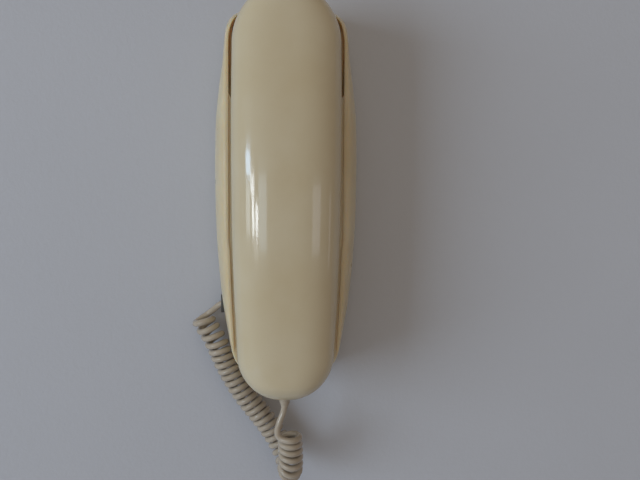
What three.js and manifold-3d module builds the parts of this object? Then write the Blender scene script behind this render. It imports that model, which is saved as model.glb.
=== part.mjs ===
// Slim corded wall telephone: a long rounded handset lies in a boat-shaped base, and a curly
// cord runs from the base's left side to the handset's lower end.
//
// Millimetres. +Z is up, the wall is the plane y = 0 and the phone stands out from it along -Y.
// "out" is a distance from the wall, so a point is (x, -out, z). The origin is the middle of
// the rear plate's flat back.

import * as THREE from "three";
import { mergeVertices } from "three/addons/utils/BufferGeometryUtils.js";
import Module from "manifold-3d";

const wasm = await Module();
wasm.setup();

// ---------------------------------------------------------------- driving dimensions

const GAP = 0.3; // clearance between neighbouring pieces
const WALL = 2.2; // moulded shells

// Handset
const HANDSET_LENGTH = 204;
const HANDSET_WIDTH = 54;
const PARTING_OUT = 44; // where the two handset shells meet
const COVER_RISE = 17; // from the parting line to the crown
const COVER_END_ROUND = 10;
const COVER_FULLNESS = 2.5; // 2 is an ellipse, more is boxier
const HANDSET_TOP_ROUND = 28; // length of the rounded upper end, seen from the front
const HANDSET_LOW_ROUND = 21;
const FACE_DEPTH = 10; // from the parting line to the face between the cups
const EAR_CUP_DEPTH = 18;
const MOUTH_CUP_DEPTH = 17;
const FACE_CORNER = 5;
const CUP_SHOULDER = 12; // length of the slope up to a cup
const EAR_Z = 72;
const MOUTH_Z = -76;
const EAR_SHOULDER_Z = 46;
const MOUTH_SHOULDER_Z = -55;

// Base
const BASE_LENGTH = 198;
const BASE_WIDTH = 75;
const CREST_OUT = 36; // height of the two wings beside the handset
const BELLY_OUT = 12; // where the base is widest
const BACK_UNDERCUT = 2.5;
const CREST_LAND = 1.2;
const END_LEAN = 0.03;
const END_DROP = 8;
const CORNER_LENGTH = 17;
const RIM = 3.5; // base beyond the cradle's ends
const CRADLE_TOP_ROUND = 25;
const CRADLE_LOW_ROUND = 18;
const SCOOP_SIDE = 5.5; // how much narrower than the handset the scoops in the ends are
const CRADLE_GAP = 2.4; // between the handset's side and the wing
const SIDE_GAP = 0.7; // the same below the ledge that runs along the wing's foot
const LEDGE_OUT = 34.8;
const FINGER_GAP = 5; // between the handset's face and the channel's floor
const EAR_WELL_GAP = 8;
const MOUTH_WELL_GAP = 7;
const END_LIP_GAP = 2.2;
const EAR_WELL_LOW_Z = 48.5;
const EAR_WELL_TOP_Z = 90;
const MOUTH_WELL_TOP_Z = -54;
const MOUTH_WELL_LOW_Z = -90;
const MOUTH_WELL_SIDE = 3.6; // how much narrower than the handset the mouth well is, each side
const WELL_CORNER = 6;
const PLATE_THICK = 2;

// Keys
const KEY_WIDTH = 10.5;
const KEY_HEIGHT = 8;
const KEY_PITCH_X = 13.4;
const KEY_PITCH_Z = 12;
const KEY_STAND = 2; // above the face
const KEY_TRAVEL = 1.2;
const KEY_CORNER = 1.8;
const KEY_FLANGE = 0.8;
const KEY_MAT_THICK = 1.2;
const KEY_MAT_MARGIN = 1.5;
const KEYPAD_Z = 4;
const FUNCTION_KEY_Z = -29;
const FUNCTION_KEY_WIDTH = 13;
const FUNCTION_KEY_HEIGHT = 5.4;
const DIAL_SWITCH_Z = FUNCTION_KEY_Z - FUNCTION_KEY_HEIGHT / 2 - 8;

// Circuit boards, screws and small parts
const BOARD_THICK = 1.6;
const BOARD_STANDOFF = 2;
const BOARD_HALF = 20; // the base's board
const BOARD_LOW_Z = -40;
const BOARD_HIGH_Z = 27;
const SCREW_RADIUS = 1.3;
const SCREW_HEAD_RADIUS = 2.8;
const SCREW_HEAD_THICK = 1.2;
const SCREW_LENGTH = 10;
const BOSS_RADIUS = 3.2;
const HANDSET_SCREWS = [
  [-15, EAR_SHOULDER_Z - 4], [15, EAR_SHOULDER_Z - 4], [0, MOUTH_SHOULDER_Z + 3],
];
const SCREW_FROM_SIDE = 17.5; // the base's two upper screws
const SCREW_FROM_TOP = 21;
const SCREW_FROM_FOOT = 19; // the two lower ones, whose bosses stand clear of the line socket
const BOSS_CLEARANCE = 2;
const RECEIVER_RADIUS = 15;
const RECEIVER_THICK = 7;
const GASKET_THICK = 1.2;
const SOUND_HOLE_RADIUS = 1.1;
const MIC_RADIUS = 4.8;
const MIC_THICK = 5;
const SOUNDER_RADIUS = 13;
const SOUNDER_THICK = 5;
const HOOK_PIVOT_Z = 40;
const HOOK_PIVOT_OUT = 9;
const HOOK_PIN_RADIUS = 1.5;
const HOOK_PIN_LENGTH = 18;
const HOOK_HUB_RADIUS = 3.4;
const HOOK_ARM_THICK = 2.4;
const HOOK_EAR_THICK = 2.6;
const HOOK_SPRING_WIRE = 0.8;
const HOOK_SPRING_RADIUS = 2.6;
const HOOK_SPRING_TURNS = 3;
const HOOK_SWITCH_WIDTH = 12;
const HOOK_SWITCH_TALL = 6;
const HOOK_SWITCH_LENGTH = 13;
const HOOK_LEAF_THICK = 0.35;
const HOOK_NOSE_Z = 73;
const HOOK_NOSE_WIDTH = 6;
const KEYHOLE_Z = 50.8; // two studs 101.6 apart
const KEYHOLE_RADIUS = 4.6;
const KEYHOLE_SLOT = 2.3;
const KEYHOLE_RUN = 8;
const TONGUE_WIDTH = 8;
const TONGUE_THICK = 2;
const TONGUE_LENGTH = 9.5;
const TAB_HALF = 7;
const TAB_LENGTH = 9;
const TAB_THICK = 1.4;
const LIFT_RISE = 0.6; // the handset leaves the cradle along (0, -0.8, 0.6)
const LIFT_OUT = 0.8;
const SLIDE_TRAVEL = 3;
const SLIDE_PLATE = 0.8; // the flange under each slide switch's knob
const RINGER_SWITCH_Z = -40;

// Modular plug and sockets
const PLUG_WIDTH = 7.6;
const PLUG_HEIGHT = 6.6;
const PLUG_LENGTH = 11.5;
const JACK_Z = -58.7;
const JACK_OUT = 8.8;
const JACK_WALL = 1.6;
const LINE_JACK_X = 4;
const LINE_JACK_TOP_Z = -66;
const LINE_SOCKET_WIDTH = 10.4;
const LINE_SOCKET_HEIGHT = 7.2;
const LINE_SOCKET_DEPTH = 12;
const LINE_POCKET = 11; // room under the line socket for a plug

// Cord
const CORD_DIAMETER = 3.1;
const COIL_DIAMETER = 13.4; // outside
const COIL_PITCH = 3.62;
const COIL_LAST_TURN = 0.2; // the coil ends this far past a whole turn, on its left
const COIL_LOOSE = 0.2; // the third to sixth turns stand further apart by this share
const COIL_LOOSE_AT = 13; // millimetres along the coil
const COIL_LOOSE_SPAN = 7;
const CURL_STEPS = 8;
const CURL_SIDES = 5;
const LEAD_SIDES = 8;
const BOOT_OUT = 39.6;
const BOOT_X = -0.4;
const BOOT_LENGTH = 4; // what shows below the handset
const BOOT_RADIUS = 3.2;
const BOOT_FLANGE = 4.2;
const BOOT_SEAT = 6.3; // how far inside the shell's end the flange sits

// The middle line of the coil as it hangs, [x, out, below the jack]: along the wall, round its
// lowest bend and up in front to just below the handset. Drawn for a boot tip 47.3 below the jack.
const ROUTE_DRAWN_FOR = 47.3;
const COIL_ROUTE = [
  [-45.2, 8.8, 8.4], [-43.4, 9.0, 12.0], [-39.7, 8.6, 18.1], [-36.5, 8.2, 24.9],
  [-33.6, 8.0, 31.7], [-30.2, 7.8, 38.5], [-26.1, 7.8, 45.8], [-21.5, 7.8, 52.7],
  [-17.0, 7.8, 58.5], [-12.4, 7.9, 64.3], [-8.0, 8.1, 70.3], [-4.2, 8.8, 76.2],
  [-1.0, 10.8, 82.0], [1.2, 14.8, 86.5], [2.2, 20.0, 88.5], [2.7, 25.6, 87.7],
  [2.9, 30.4, 83.8], [2.9, 33.6, 77.9], [2.7, 35.6, 71.3], [2.3, 37.2, 64.6],
];
// Free stretches between the coil and the two things that hold the cord.
const LEAD_BASE_ROUTE = [[-31.7, 8.8, 0], [-33.8, 8.8, 0], [-36.9, 7.2, 1.9], [-39.6, 5.0, 4.6]];
const LEAD_HANDSET_ROUTE = [[-6.6, 39.3, 62.7], [-6.1, 39.1, 60.0], [-3.3, 39.4, 54.8]];

// ---------------------------------------------------------------- worked out from them

const HANDSET_END = HANDSET_LENGTH / 2;
const BASE_END = BASE_LENGTH / 2;
const FACE_OUT = PARTING_OUT - FACE_DEPTH;
const EAR_CUP_OUT = PARTING_OUT - EAR_CUP_DEPTH;
const MOUTH_CUP_OUT = PARTING_OUT - MOUTH_CUP_DEPTH;
const CHANNEL_HALF = HANDSET_WIDTH / 2 + CRADLE_GAP;
const CHANNEL_OUT = FACE_OUT - FINGER_GAP;
const MOUTH_WELL_HALF = HANDSET_WIDTH / 2 - MOUTH_WELL_SIDE;
const EAR_WELL_OUT = EAR_CUP_OUT - EAR_WELL_GAP;
const MOUTH_WELL_OUT = MOUTH_CUP_OUT - MOUTH_WELL_GAP;
const END_LIP_OUT = Math.min(EAR_CUP_OUT, MOUTH_CUP_OUT) - END_LIP_GAP;
const BOARD_OUT = PLATE_THICK + BOARD_STANDOFF + GAP;
const BOARD_TOP = BOARD_OUT + BOARD_THICK;
const COIL_RADIUS = (COIL_DIAMETER - CORD_DIAMETER) / 2;
const FACE_INNER = FACE_OUT + WALL;
const PLUG_REAR_X = LEAD_BASE_ROUTE[0][0] + GAP;
const BOOT_TIP_Z = -HANDSET_END - BOOT_LENGTH;
const HANG = (JACK_Z - BOOT_TIP_Z) / ROUTE_DRAWN_FOR;
const PLATE_FIT = WALL + GAP;
const CAPSULE_OUT = EAR_CUP_OUT + WALL + GAP + GASKET_THICK + GAP;
const MIC_OUT = MOUTH_CUP_OUT + WALL + GAP;
const MAT_OUT = FACE_INNER + GAP + KEY_FLANGE + KEY_TRAVEL + 0.4;
const HANDSET_BOARD_OUT = MAT_OUT + KEY_MAT_THICK + GAP;
const LINE_JACK_HALF = LINE_SOCKET_WIDTH / 2 + JACK_WALL;
const LINE_JACK_LOW_Z = LINE_JACK_TOP_Z - LINE_SOCKET_DEPTH - JACK_WALL;
const LOW_SCREW_X = LINE_JACK_X + LINE_JACK_HALF + BOSS_CLEARANCE + BOSS_RADIUS;
const BASE_SCREWS = [
  [-(BASE_WIDTH / 2 - SCREW_FROM_SIDE), BASE_END - SCREW_FROM_TOP],
  [BASE_WIDTH / 2 - SCREW_FROM_SIDE, BASE_END - SCREW_FROM_TOP],
  [-LOW_SCREW_X, SCREW_FROM_FOOT - BASE_END], [LOW_SCREW_X, SCREW_FROM_FOOT - BASE_END],
];
const TONGUE_START = { out: CHANNEL_OUT - 0.6, z: EAR_WELL_LOW_Z - 3 };

// Shares of the full width along the length, from the lower end (-1) to the upper end (1).
const HANDSET_TAPER = [
  [-1, 0.85], [-0.73, 0.903], [-0.51, 0.944], [-0.26, 0.978], [0, 0.995], [0.36, 1],
  [0.73, 0.985], [1, 0.97],
];
const BASE_TAPER = [
  [-1, 0.64], [-0.77, 0.795], [-0.53, 0.908], [-0.2, 0.981], [0.15, 1], [0.39, 0.987],
  [0.5, 0.96], [0.61, 0.923], [0.72, 0.877], [0.82, 0.853], [1, 0.83],
];

// ---------------------------------------------------------------- colours

function plastic(color, roughness = 0.35) {
  return new THREE.MeshStandardMaterial({ color, roughness, metalness: 0 });
}

function metal(color, roughness = 0.35) {
  return new THREE.MeshStandardMaterial({ color, roughness, metalness: 1 });
}

const CREAM = plastic(0xcdc4a8, 0.25);
const CREAM_SATIN = plastic(0xc6bb9c, 0.4);
const KEY_GREY = plastic(0x4c4a46, 0.5);
const CORD_GREY = plastic(0xb4b0a6, 0.55);
const DARK = plastic(0x26241f, 0.6);
const CLEAR = plastic(0xd8d8d0, 0.15);
const BOARD_GREEN = plastic(0x2f6b45, 0.5);
const STEEL = metal(0xb8b8b6, 0.3);
const BRASS = metal(0xc7a75a, 0.35);

// ---------------------------------------------------------------- solids

function toSolid(geometry) {
  const bare = geometry.clone();
  bare.deleteAttribute("normal");
  bare.deleteAttribute("uv");
  const merged = mergeVertices(bare, 1e-4);
  return new wasm.Manifold(new wasm.Mesh({
    numProp: 3,
    vertProperties: new Float32Array(merged.attributes.position.array),
    triVerts: new Uint32Array(merged.index.array),
  }));
}

function toGeometry(solid) {
  const mesh = solid.getMesh();
  const geometry = new THREE.BufferGeometry();
  geometry.setAttribute("position", new THREE.BufferAttribute(mesh.vertProperties.slice(), 3));
  geometry.setIndex(new THREE.BufferAttribute(mesh.triVerts.slice(), 1));
  geometry.computeVertexNormals();
  return geometry;
}

function join(...geometries) {
  return toGeometry(geometries.map(toSolid).reduce((sum, next) => sum.add(next)));
}

function cut(geometry, ...tools) {
  const solid = tools.map(toSolid).reduce((left, tool) => left.subtract(tool), toSolid(geometry));
  return toGeometry(solid);
}

function common(first, second) {
  return toGeometry(toSolid(first).intersect(toSolid(second)));
}

// A closed body through rings of [x, out, z] points, all rings with the same count.
function loft(rings) {
  const count = rings[0].length;
  const positions = rings.flat().flatMap(([x, out, z]) => [x, -out, z]);
  const index = [];
  for (let r = 0; r + 1 < rings.length; r += 1) {
    for (let i = 0; i < count; i += 1) {
      const next = (i + 1) % count;
      const a = r * count + i;
      const b = r * count + next;
      index.push(a, b, b + count, a, b + count, a + count);
    }
  }
  for (const [ring, flip] of [[0, true], [rings.length - 1, false]]) {
    const centre = positions.length / 3;
    const sum = rings[ring].reduce(([x, o, z], [px, po, pz]) => [x + px, o + po, z + pz], [0, 0, 0]);
    positions.push(sum[0] / count, -sum[1] / count, sum[2] / count);
    for (let i = 0; i < count; i += 1) {
      const a = ring * count + i;
      const b = ring * count + ((i + 1) % count);
      index.push(...(flip ? [centre, b, a] : [centre, a, b]));
    }
  }
  return outward(positions, index);
}

// Turns a closed triangle list so that its faces point out.
function outward(positions, index) {
  const geometry = new THREE.BufferGeometry();
  geometry.setAttribute("position", new THREE.Float32BufferAttribute(positions, 3));
  const corner = [0, 1, 2].map(() => new THREE.Vector3());
  let volume = 0;
  for (let t = 0; t < index.length; t += 3) {
    corner.forEach((point, k) => point.fromArray(positions, 3 * index[t + k]));
    volume += corner[0].dot(corner[1].clone().cross(corner[2]));
  }
  geometry.setIndex(volume > 0 ? index : index.reverse());
  return geometry;
}

function block([x0, x1], [out0, out1], [z0, z1]) {
  const box = new THREE.BoxGeometry(x1 - x0, out1 - out0, z1 - z0);
  return box.translate((x0 + x1) / 2, -(out0 + out1) / 2, (z0 + z1) / 2);
}

// A flat outline in x and z, standing from out0 to out1.
function slab(outline, out0, out1, curveSegments = 4) {
  const solid = new THREE.ExtrudeGeometry(outline, {
    depth: out1 - out0, bevelEnabled: false, curveSegments,
  });
  return solid.rotateX(Math.PI / 2).translate(0, -out0, 0);
}

function roundedOutline([x0, x1], [z0, z1], radius) {
  const shape = new THREE.Shape();
  shape.moveTo(x0 + radius, z0);
  shape.lineTo(x1 - radius, z0);
  shape.absarc(x1 - radius, z0 + radius, radius, -Math.PI / 2, 0);
  shape.lineTo(x1, z1 - radius);
  shape.absarc(x1 - radius, z1 - radius, radius, 0, Math.PI / 2);
  shape.lineTo(x0 + radius, z1);
  shape.absarc(x0 + radius, z1 - radius, radius, Math.PI / 2, Math.PI);
  shape.lineTo(x0, z0 + radius);
  shape.absarc(x0 + radius, z0 + radius, radius, Math.PI, 1.5 * Math.PI);
  return shape;
}

// A round body about a line along Y through (x, z): profile points are [radius, out].
function turned(profile, x, z, segments = 24) {
  const points = profile.map(([radius, out]) => new THREE.Vector2(radius, out));
  const body = new THREE.LatheGeometry(points, segments);
  return body.rotateX(Math.PI).translate(x, 0, z);
}

function disc(radius, out0, out1, x, z, segments = 24) {
  return turned([[0, out0], [radius, out0], [radius, out1], [0, out1]], x, z, segments);
}

function ring(inner, outer, out0, out1, x, z, segments = 24) {
  const profile = [[inner, out0], [outer, out0], [outer, out1], [inner, out1], [inner, out0]];
  return turned(profile, x, z, segments);
}

function crossRod(radius, length, out, z, segments = 16) {
  const rod = new THREE.CylinderGeometry(radius, radius, length, segments);
  return rod.rotateZ(Math.PI / 2).translate(0, -out, z);
}

// ---------------------------------------------------------------- shared shapes

function smoothTable(table, t) {
  const last = table.length - 1;
  const at = (k) => table[Math.min(Math.max(k, 0), last)];
  let k = table.findIndex(([place]) => place >= t);
  k = Math.min(Math.max(k < 0 ? last : k, 1), last);
  const [t0, v0] = at(k - 1);
  const [t1, v1] = at(k);
  const slope = (i) => {
    const [ta, va] = at(i - 1);
    const [tb, vb] = at(i + 1);
    return (vb - va) / (tb - ta);
  };
  const u = THREE.MathUtils.clamp((t - t0) / (t1 - t0), 0, 1);
  const span = t1 - t0;
  const h = (2 * u - 3) * u * u;
  return v0 * (1 + h) + slope(k - 1) * span * u * (1 - u) ** 2
    - v1 * h - slope(k) * span * u * u * (1 - u);
}

function roundOff(distance, length, power = 2) {
  const t = THREE.MathUtils.clamp(distance / length, 0, 1);
  return (1 - t ** power) ** (1 / power);
}

// Places along the length that crowd together towards both rounded ends.
function stations(end, topRound, lowRound, middle, endSteps, stop = 0.995) {
  const places = [];
  for (let i = endSteps; i > 0; i -= 1) {
    places.push(-end + lowRound * (1 - stop * Math.sin((Math.PI / 2) * (i / endSteps))));
  }
  for (let i = 0; i <= middle; i += 1) {
    places.push(THREE.MathUtils.lerp(-end + lowRound, end - topRound, i / middle));
  }
  for (let i = 1; i <= endSteps; i += 1) {
    places.push(end - topRound * (1 - stop * Math.sin((Math.PI / 2) * (i / endSteps))));
  }
  return places;
}

// ---------------------------------------------------------------- handset shells

function handsetSide(z) {
  return (HANDSET_WIDTH / 2) * smoothTable(HANDSET_TAPER, z / HANDSET_END);
}

function handsetHalfWidth(z) {
  const past = z > 0
    ? roundOff(z - (HANDSET_END - HANDSET_TOP_ROUND), HANDSET_TOP_ROUND)
    : roundOff(-z - (HANDSET_END - HANDSET_LOW_ROUND), HANDSET_LOW_ROUND);
  return handsetSide(z) * past;
}

function coverRise(z) {
  const bow = 1 - 0.1 * (z / HANDSET_END) ** 2;
  return COVER_RISE * bow * roundOff(Math.abs(z) - (HANDSET_END - COVER_END_ROUND), COVER_END_ROUND);
}

function faceDepth(z) {
  const ear = THREE.MathUtils.smoothstep(z, EAR_SHOULDER_Z, EAR_SHOULDER_Z + CUP_SHOULDER);
  const mouth = THREE.MathUtils.smoothstep(-z, -MOUTH_SHOULDER_Z, -MOUTH_SHOULDER_Z + CUP_SHOULDER);
  const depth = FACE_DEPTH + (EAR_CUP_DEPTH - FACE_DEPTH) * ear
    + (MOUTH_CUP_DEPTH - FACE_DEPTH) * mouth;
  const endRound = HANDSET_END - EAR_Z - RECEIVER_RADIUS + 1;
  return depth * roundOff(Math.abs(z) - (HANDSET_END - endRound), endRound);
}

function handsetStations() {
  const even = stations(HANDSET_END, HANDSET_TOP_ROUND, HANDSET_LOW_ROUND, 6, 8);
  const shoulders = [0.2, 0.5, 0.8, 1].flatMap((share) => [
    EAR_SHOULDER_Z + share * CUP_SHOULDER, MOUTH_SHOULDER_Z - share * CUP_SHOULDER,
  ]);
  const places = [...even, ...shoulders, EAR_SHOULDER_Z, MOUTH_SHOULDER_Z].sort((a, b) => a - b);
  return places.filter((z, i) => i === 0 || z - places[i - 1] > 0.4);
}

// The cover's outer surface over a point.
function coverOut(x, z) {
  const side = Math.abs(x) / handsetHalfWidth(z);
  return PARTING_OUT + coverRise(z) * (1 - side ** COVER_FULLNESS) ** (1 / COVER_FULLNESS);
}

// The outer cover's solid, or with inset its hollow.
function coverBody(inset) {
  const shrink = (HANDSET_END - inset) / HANDSET_END;
  const steps = 14;
  const flatness = 2 / COVER_FULLNESS;
  const places = stations(HANDSET_END, HANDSET_TOP_ROUND, HANDSET_LOW_ROUND, 7, 8);
  return loft(places.map((z) => {
    const half = Math.max(handsetHalfWidth(z) - inset, 0.4);
    const rise = Math.max(coverRise(z) - inset, 0.3);
    const points = [];
    for (let i = 0; i <= steps; i += 1) {
      const angle = (Math.PI * i) / steps;
      const side = Math.sign(Math.cos(angle)) * Math.abs(Math.cos(angle)) ** flatness;
      points.push([half * side, PARTING_OUT + rise * Math.sin(angle) ** flatness, z * shrink]);
    }
    if (inset > 0) {
      points.push([-half, PARTING_OUT - 1, z * shrink], [half, PARTING_OUT - 1, z * shrink]);
    }
    return points;
  }));
}

// The inner shell's solid, or with inset its hollow.
function faceBody(inset) {
  const shrink = (HANDSET_END - inset) / HANDSET_END;
  const top = PARTING_OUT - GAP;
  return loft(handsetStations().map((z) => {
    const depth = Math.max(faceDepth(z) - GAP - inset, 0.6);
    const half = Math.max(handsetHalfWidth(z) - inset, 1);
    const draft = Math.min(1.6, 0.12 * depth, 0.2 * half);
    const corner = Math.min(FACE_CORNER, 0.85 * depth, 0.7 * half);
    const rim = inset > 0 ? top + 1 : top;
    const right = [[half, rim], [half - draft, top - depth + corner]];
    for (let i = 1; i <= 4; i += 1) {
      const angle = (Math.PI / 2) * (i / 4);
      right.push([
        half - draft - corner * (1 - Math.cos(angle)), top - depth + corner * (1 - Math.sin(angle)),
      ]);
    }
    const left = right.map(([x, out]) => [-x, out]).reverse();
    return [...right, ...left].map(([x, out]) => [x, out, z * shrink]);
  }));
}

function handsetCover() {
  const shell = cut(coverBody(0), coverBody(WALL));
  const bosses = HANDSET_SCREWS.map(([x, z]) => {
    const post = disc(BOSS_RADIUS, FACE_INNER + GAP, coverOut(x, z) - WALL / 2, x, z, 12);
    return cut(post, disc(SCREW_RADIUS + GAP, FACE_OUT, FACE_OUT + SCREW_LENGTH + 2, x, z, 12));
  });
  return join(shell, ...bosses);
}

// The slanted line that the hanger's tongue follows into the handset.
function alongLift(start, width, thick, length) {
  const tongue = new THREE.BoxGeometry(width, length, thick).translate(0, -length / 2, 0);
  tongue.rotateX(-Math.atan2(LIFT_RISE, LIFT_OUT));
  return tongue.translate(0, -start.out, start.z);
}

function handsetFace() {
  const shell = cut(faceBody(0), faceBody(WALL));
  const cuts = [
    disc(RECEIVER_RADIUS + GAP, EAR_CUP_OUT - 1, EAR_CUP_OUT + 2 * WALL, 0, EAR_Z, 24),
    alongLift(TONGUE_START, TONGUE_WIDTH + 1, TONGUE_THICK + 1, 2 * TONGUE_LENGTH),
    new THREE.CylinderGeometry(BOOT_RADIUS + GAP, BOOT_RADIUS + GAP, 2 * BOOT_SEAT, 12)
      .rotateX(Math.PI / 2)
      .translate(BOOT_X, -BOOT_OUT, -HANDSET_END),
    ...HANDSET_SCREWS.flatMap(([x, z]) => [
      disc(SCREW_HEAD_RADIUS + GAP, FACE_OUT - 1, FACE_OUT + SCREW_HEAD_THICK + GAP, x, z, 12),
      disc(SCREW_RADIUS + GAP, FACE_OUT - 1, FACE_INNER + 1, x, z, 12),
    ]),
    ...keys().map(({ x, z, width, height }) => slab(
      roundedOutline(
        [x - width / 2 - GAP, x + width / 2 + GAP], [z - height / 2 - GAP, z + height / 2 + GAP],
        KEY_CORNER + GAP,
      ), FACE_OUT - 1, FACE_INNER + 1, 2,
    )),
    block([-2, 2 + SLIDE_TRAVEL], [FACE_OUT - 1, FACE_INNER + 1],
      [DIAL_SWITCH_Z - 1.3, DIAL_SWITCH_Z + 1.3]),
    ...soundHoles(4.2, 5).map(([x, z]) => (
      disc(SOUND_HOLE_RADIUS, MOUTH_CUP_OUT - 1, MOUTH_CUP_OUT + WALL + 1, x, MOUTH_Z + z, 6)
    )),
  ];
  return cut(shell, ...cuts);
}

function soundHoles(circle, count) {
  const around = Array.from({ length: count }, (_, i) => {
    const angle = (2 * Math.PI * i) / count;
    return [circle * Math.cos(angle), circle * Math.sin(angle)];
  });
  return [[0, 0], ...around];
}

// ---------------------------------------------------------------- handset insides

function receiverCap() {
  const cap = disc(RECEIVER_RADIUS, EAR_CUP_OUT + GAP / 2, EAR_CUP_OUT + WALL, 0, EAR_Z);
  const holes = [...soundHoles(4.5, 6), ...soundHoles(9, 10).slice(1)].map(([x, z]) => (
    disc(SOUND_HOLE_RADIUS, EAR_CUP_OUT - 1, EAR_CUP_OUT + WALL + 1, x, EAR_Z + z, 6)
  ));
  return cut(cap, ...holes);
}

function receiverGasket() {
  const back = CAPSULE_OUT - GAP;
  return ring(RECEIVER_RADIUS - 4, RECEIVER_RADIUS - 1.5, back - GASKET_THICK, back, 0, EAR_Z);
}

function receiverCapsule() {
  const back = CAPSULE_OUT + RECEIVER_THICK;
  const profile = [
    [0, CAPSULE_OUT], [RECEIVER_RADIUS - 1, CAPSULE_OUT], [RECEIVER_RADIUS - 1, CAPSULE_OUT + 2.5],
    [RECEIVER_RADIUS - 6, CAPSULE_OUT + 3.5], [RECEIVER_RADIUS - 6, back], [0, back],
  ];
  return turned(profile, 0, EAR_Z);
}

function micBoot() {
  return ring(MIC_RADIUS + GAP, MIC_RADIUS + 2.3, MIC_OUT, MIC_OUT + MIC_THICK, 0, MOUTH_Z, 16);
}

function micCapsule() {
  return disc(MIC_RADIUS, MIC_OUT, MIC_OUT + MIC_THICK, 0, MOUTH_Z, 16);
}

function handsetBoard() {
  const low = MOUTH_SHOULDER_Z + 9;
  const high = EAR_SHOULDER_Z - 9;
  const half = HANDSET_WIDTH / 2 - 5;
  return block([-half, half], [HANDSET_BOARD_OUT, HANDSET_BOARD_OUT + BOARD_THICK], [low, high]);
}

function keyMat() {
  const half = KEY_PITCH_X + KEY_WIDTH / 2 + KEY_MAT_MARGIN;
  const top = KEYPAD_Z + 1.5 * KEY_PITCH_Z + KEY_HEIGHT / 2 + KEY_MAT_MARGIN;
  const low = FUNCTION_KEY_Z - FUNCTION_KEY_HEIGHT / 2 - KEY_MAT_MARGIN;
  const outline = roundedOutline([-half, half], [low, top], 3);
  return slab(outline, MAT_OUT, MAT_OUT + KEY_MAT_THICK, 2);
}

// The numbered keys in rows of three, and two wider keys under them.
function keys() {
  const names = ["1", "2", "3", "4", "5", "6", "7", "8", "9", "star", "0", "hash"];
  const numbered = names.map((name, i) => ({
    name: `key_${name}`,
    x: -((i % 3) - 1) * KEY_PITCH_X,
    z: KEYPAD_Z + (1.5 - Math.floor(i / 3)) * KEY_PITCH_Z,
    width: KEY_WIDTH,
    height: KEY_HEIGHT,
  }));
  const wide = ["redial", "flash"].map((name, i) => ({
    name: `key_${name}`,
    x: (0.5 - i) * 2 * (FUNCTION_KEY_WIDTH / 2 + 3),
    z: FUNCTION_KEY_Z,
    width: FUNCTION_KEY_WIDTH,
    height: FUNCTION_KEY_HEIGHT,
  }));
  return [...numbered, ...wide];
}

// A key about its own middle, at the face's plane.
function keyBody(width, height) {
  const outline = roundedOutline([-width / 2, width / 2], [-height / 2, height / 2], KEY_CORNER);
  const stem = slab(outline, -KEY_STAND, WALL + GAP + KEY_FLANGE / 2, 2);
  const flange = block(
    [-width / 2 - KEY_FLANGE, width / 2 + KEY_FLANGE], [WALL + GAP, WALL + GAP + KEY_FLANGE],
    [-height / 2 - KEY_FLANGE, height / 2 + KEY_FLANGE],
  );
  return join(stem, flange);
}

function dialSwitchKnob() {
  const stem = block([-1.7, 1.7], [FACE_OUT - 1, FACE_INNER + 0.6],
    [DIAL_SWITCH_Z - 1, DIAL_SWITCH_Z + 1]);
  const flange = block(
    [-3.2, 3.2], [FACE_INNER + GAP, FACE_INNER + GAP + SLIDE_PLATE],
    [DIAL_SWITCH_Z - 2, DIAL_SWITCH_Z + 2],
  );
  return join(stem, flange);
}

function dialSwitchBody() {
  return block(
    [-5, 5 + SLIDE_TRAVEL], [FACE_INNER + 2 * GAP + SLIDE_PLATE, HANDSET_BOARD_OUT - GAP],
    [DIAL_SWITCH_Z - 2.6, DIAL_SWITCH_Z + 2.6],
  );
}

// A trumpet whose flange sits inside the shell and whose wide mouth shows below it.
function cordBoot() {
  const inside = -HANDSET_END + BOOT_SEAT;
  const profile = [
    [0, inside + 1.8], [BOOT_FLANGE, inside + 1.8], [BOOT_FLANGE, inside], [BOOT_RADIUS, inside],
    [BOOT_RADIUS, -HANDSET_END], [CORD_DIAMETER / 2 + 0.8, BOOT_TIP_Z + BOOT_LENGTH / 3],
    [CORD_DIAMETER / 2 + 0.5, BOOT_TIP_Z], [0, BOOT_TIP_Z],
  ].map(([radius, z]) => new THREE.Vector2(radius, z));
  const body = new THREE.LatheGeometry(profile.reverse(), 12);
  return body.rotateX(Math.PI / 2).translate(BOOT_X, -BOOT_OUT, 0);
}

function screw(length) {
  const profile = [
    [0, 0], [SCREW_HEAD_RADIUS, 0], [SCREW_HEAD_RADIUS, SCREW_HEAD_THICK],
    [SCREW_RADIUS, SCREW_HEAD_THICK], [SCREW_RADIUS, length - 1], [0, length],
  ];
  return turned(profile, 0, 0, 8);
}

// ---------------------------------------------------------------- base

function baseHalfWidth(z) {
  const straight = (BASE_WIDTH / 2) * smoothTable(BASE_TAPER, z / BASE_END);
  return straight * roundOff(Math.abs(z) - (BASE_END - CORNER_LENGTH), CORNER_LENGTH, 3);
}

// The cradle follows the handset below the middle, and the base's corners at both ends.
function cradleHalfWidth(z) {
  const beside = z > -25 ? CHANNEL_HALF : Math.min(CHANNEL_HALF, handsetSide(z) + CRADLE_GAP);
  const end = BASE_END - RIM;
  return beside * (z > 0
    ? roundOff(z - (end - CRADLE_TOP_ROUND), CRADLE_TOP_ROUND, 3.5)
    : roundOff(-z - (end - CRADLE_LOW_ROUND), CRADLE_LOW_ROUND, 3));
}

// Below the ledge the cradle fits the handset's own outline closely.
function channelHalfWidth(z) {
  return Math.min(cradleHalfWidth(z), handsetHalfWidth(z) + SIDE_GAP);
}

function crestOut(z) {
  const past = Math.max(Math.abs(z) / BASE_END - 0.77, 0) / 0.23;
  return CREST_OUT - END_DROP * past ** 2;
}

function baseStations() {
  return stations(BASE_END, CORNER_LENGTH, CORNER_LENGTH, 14, 5, 0.99);
}

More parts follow.
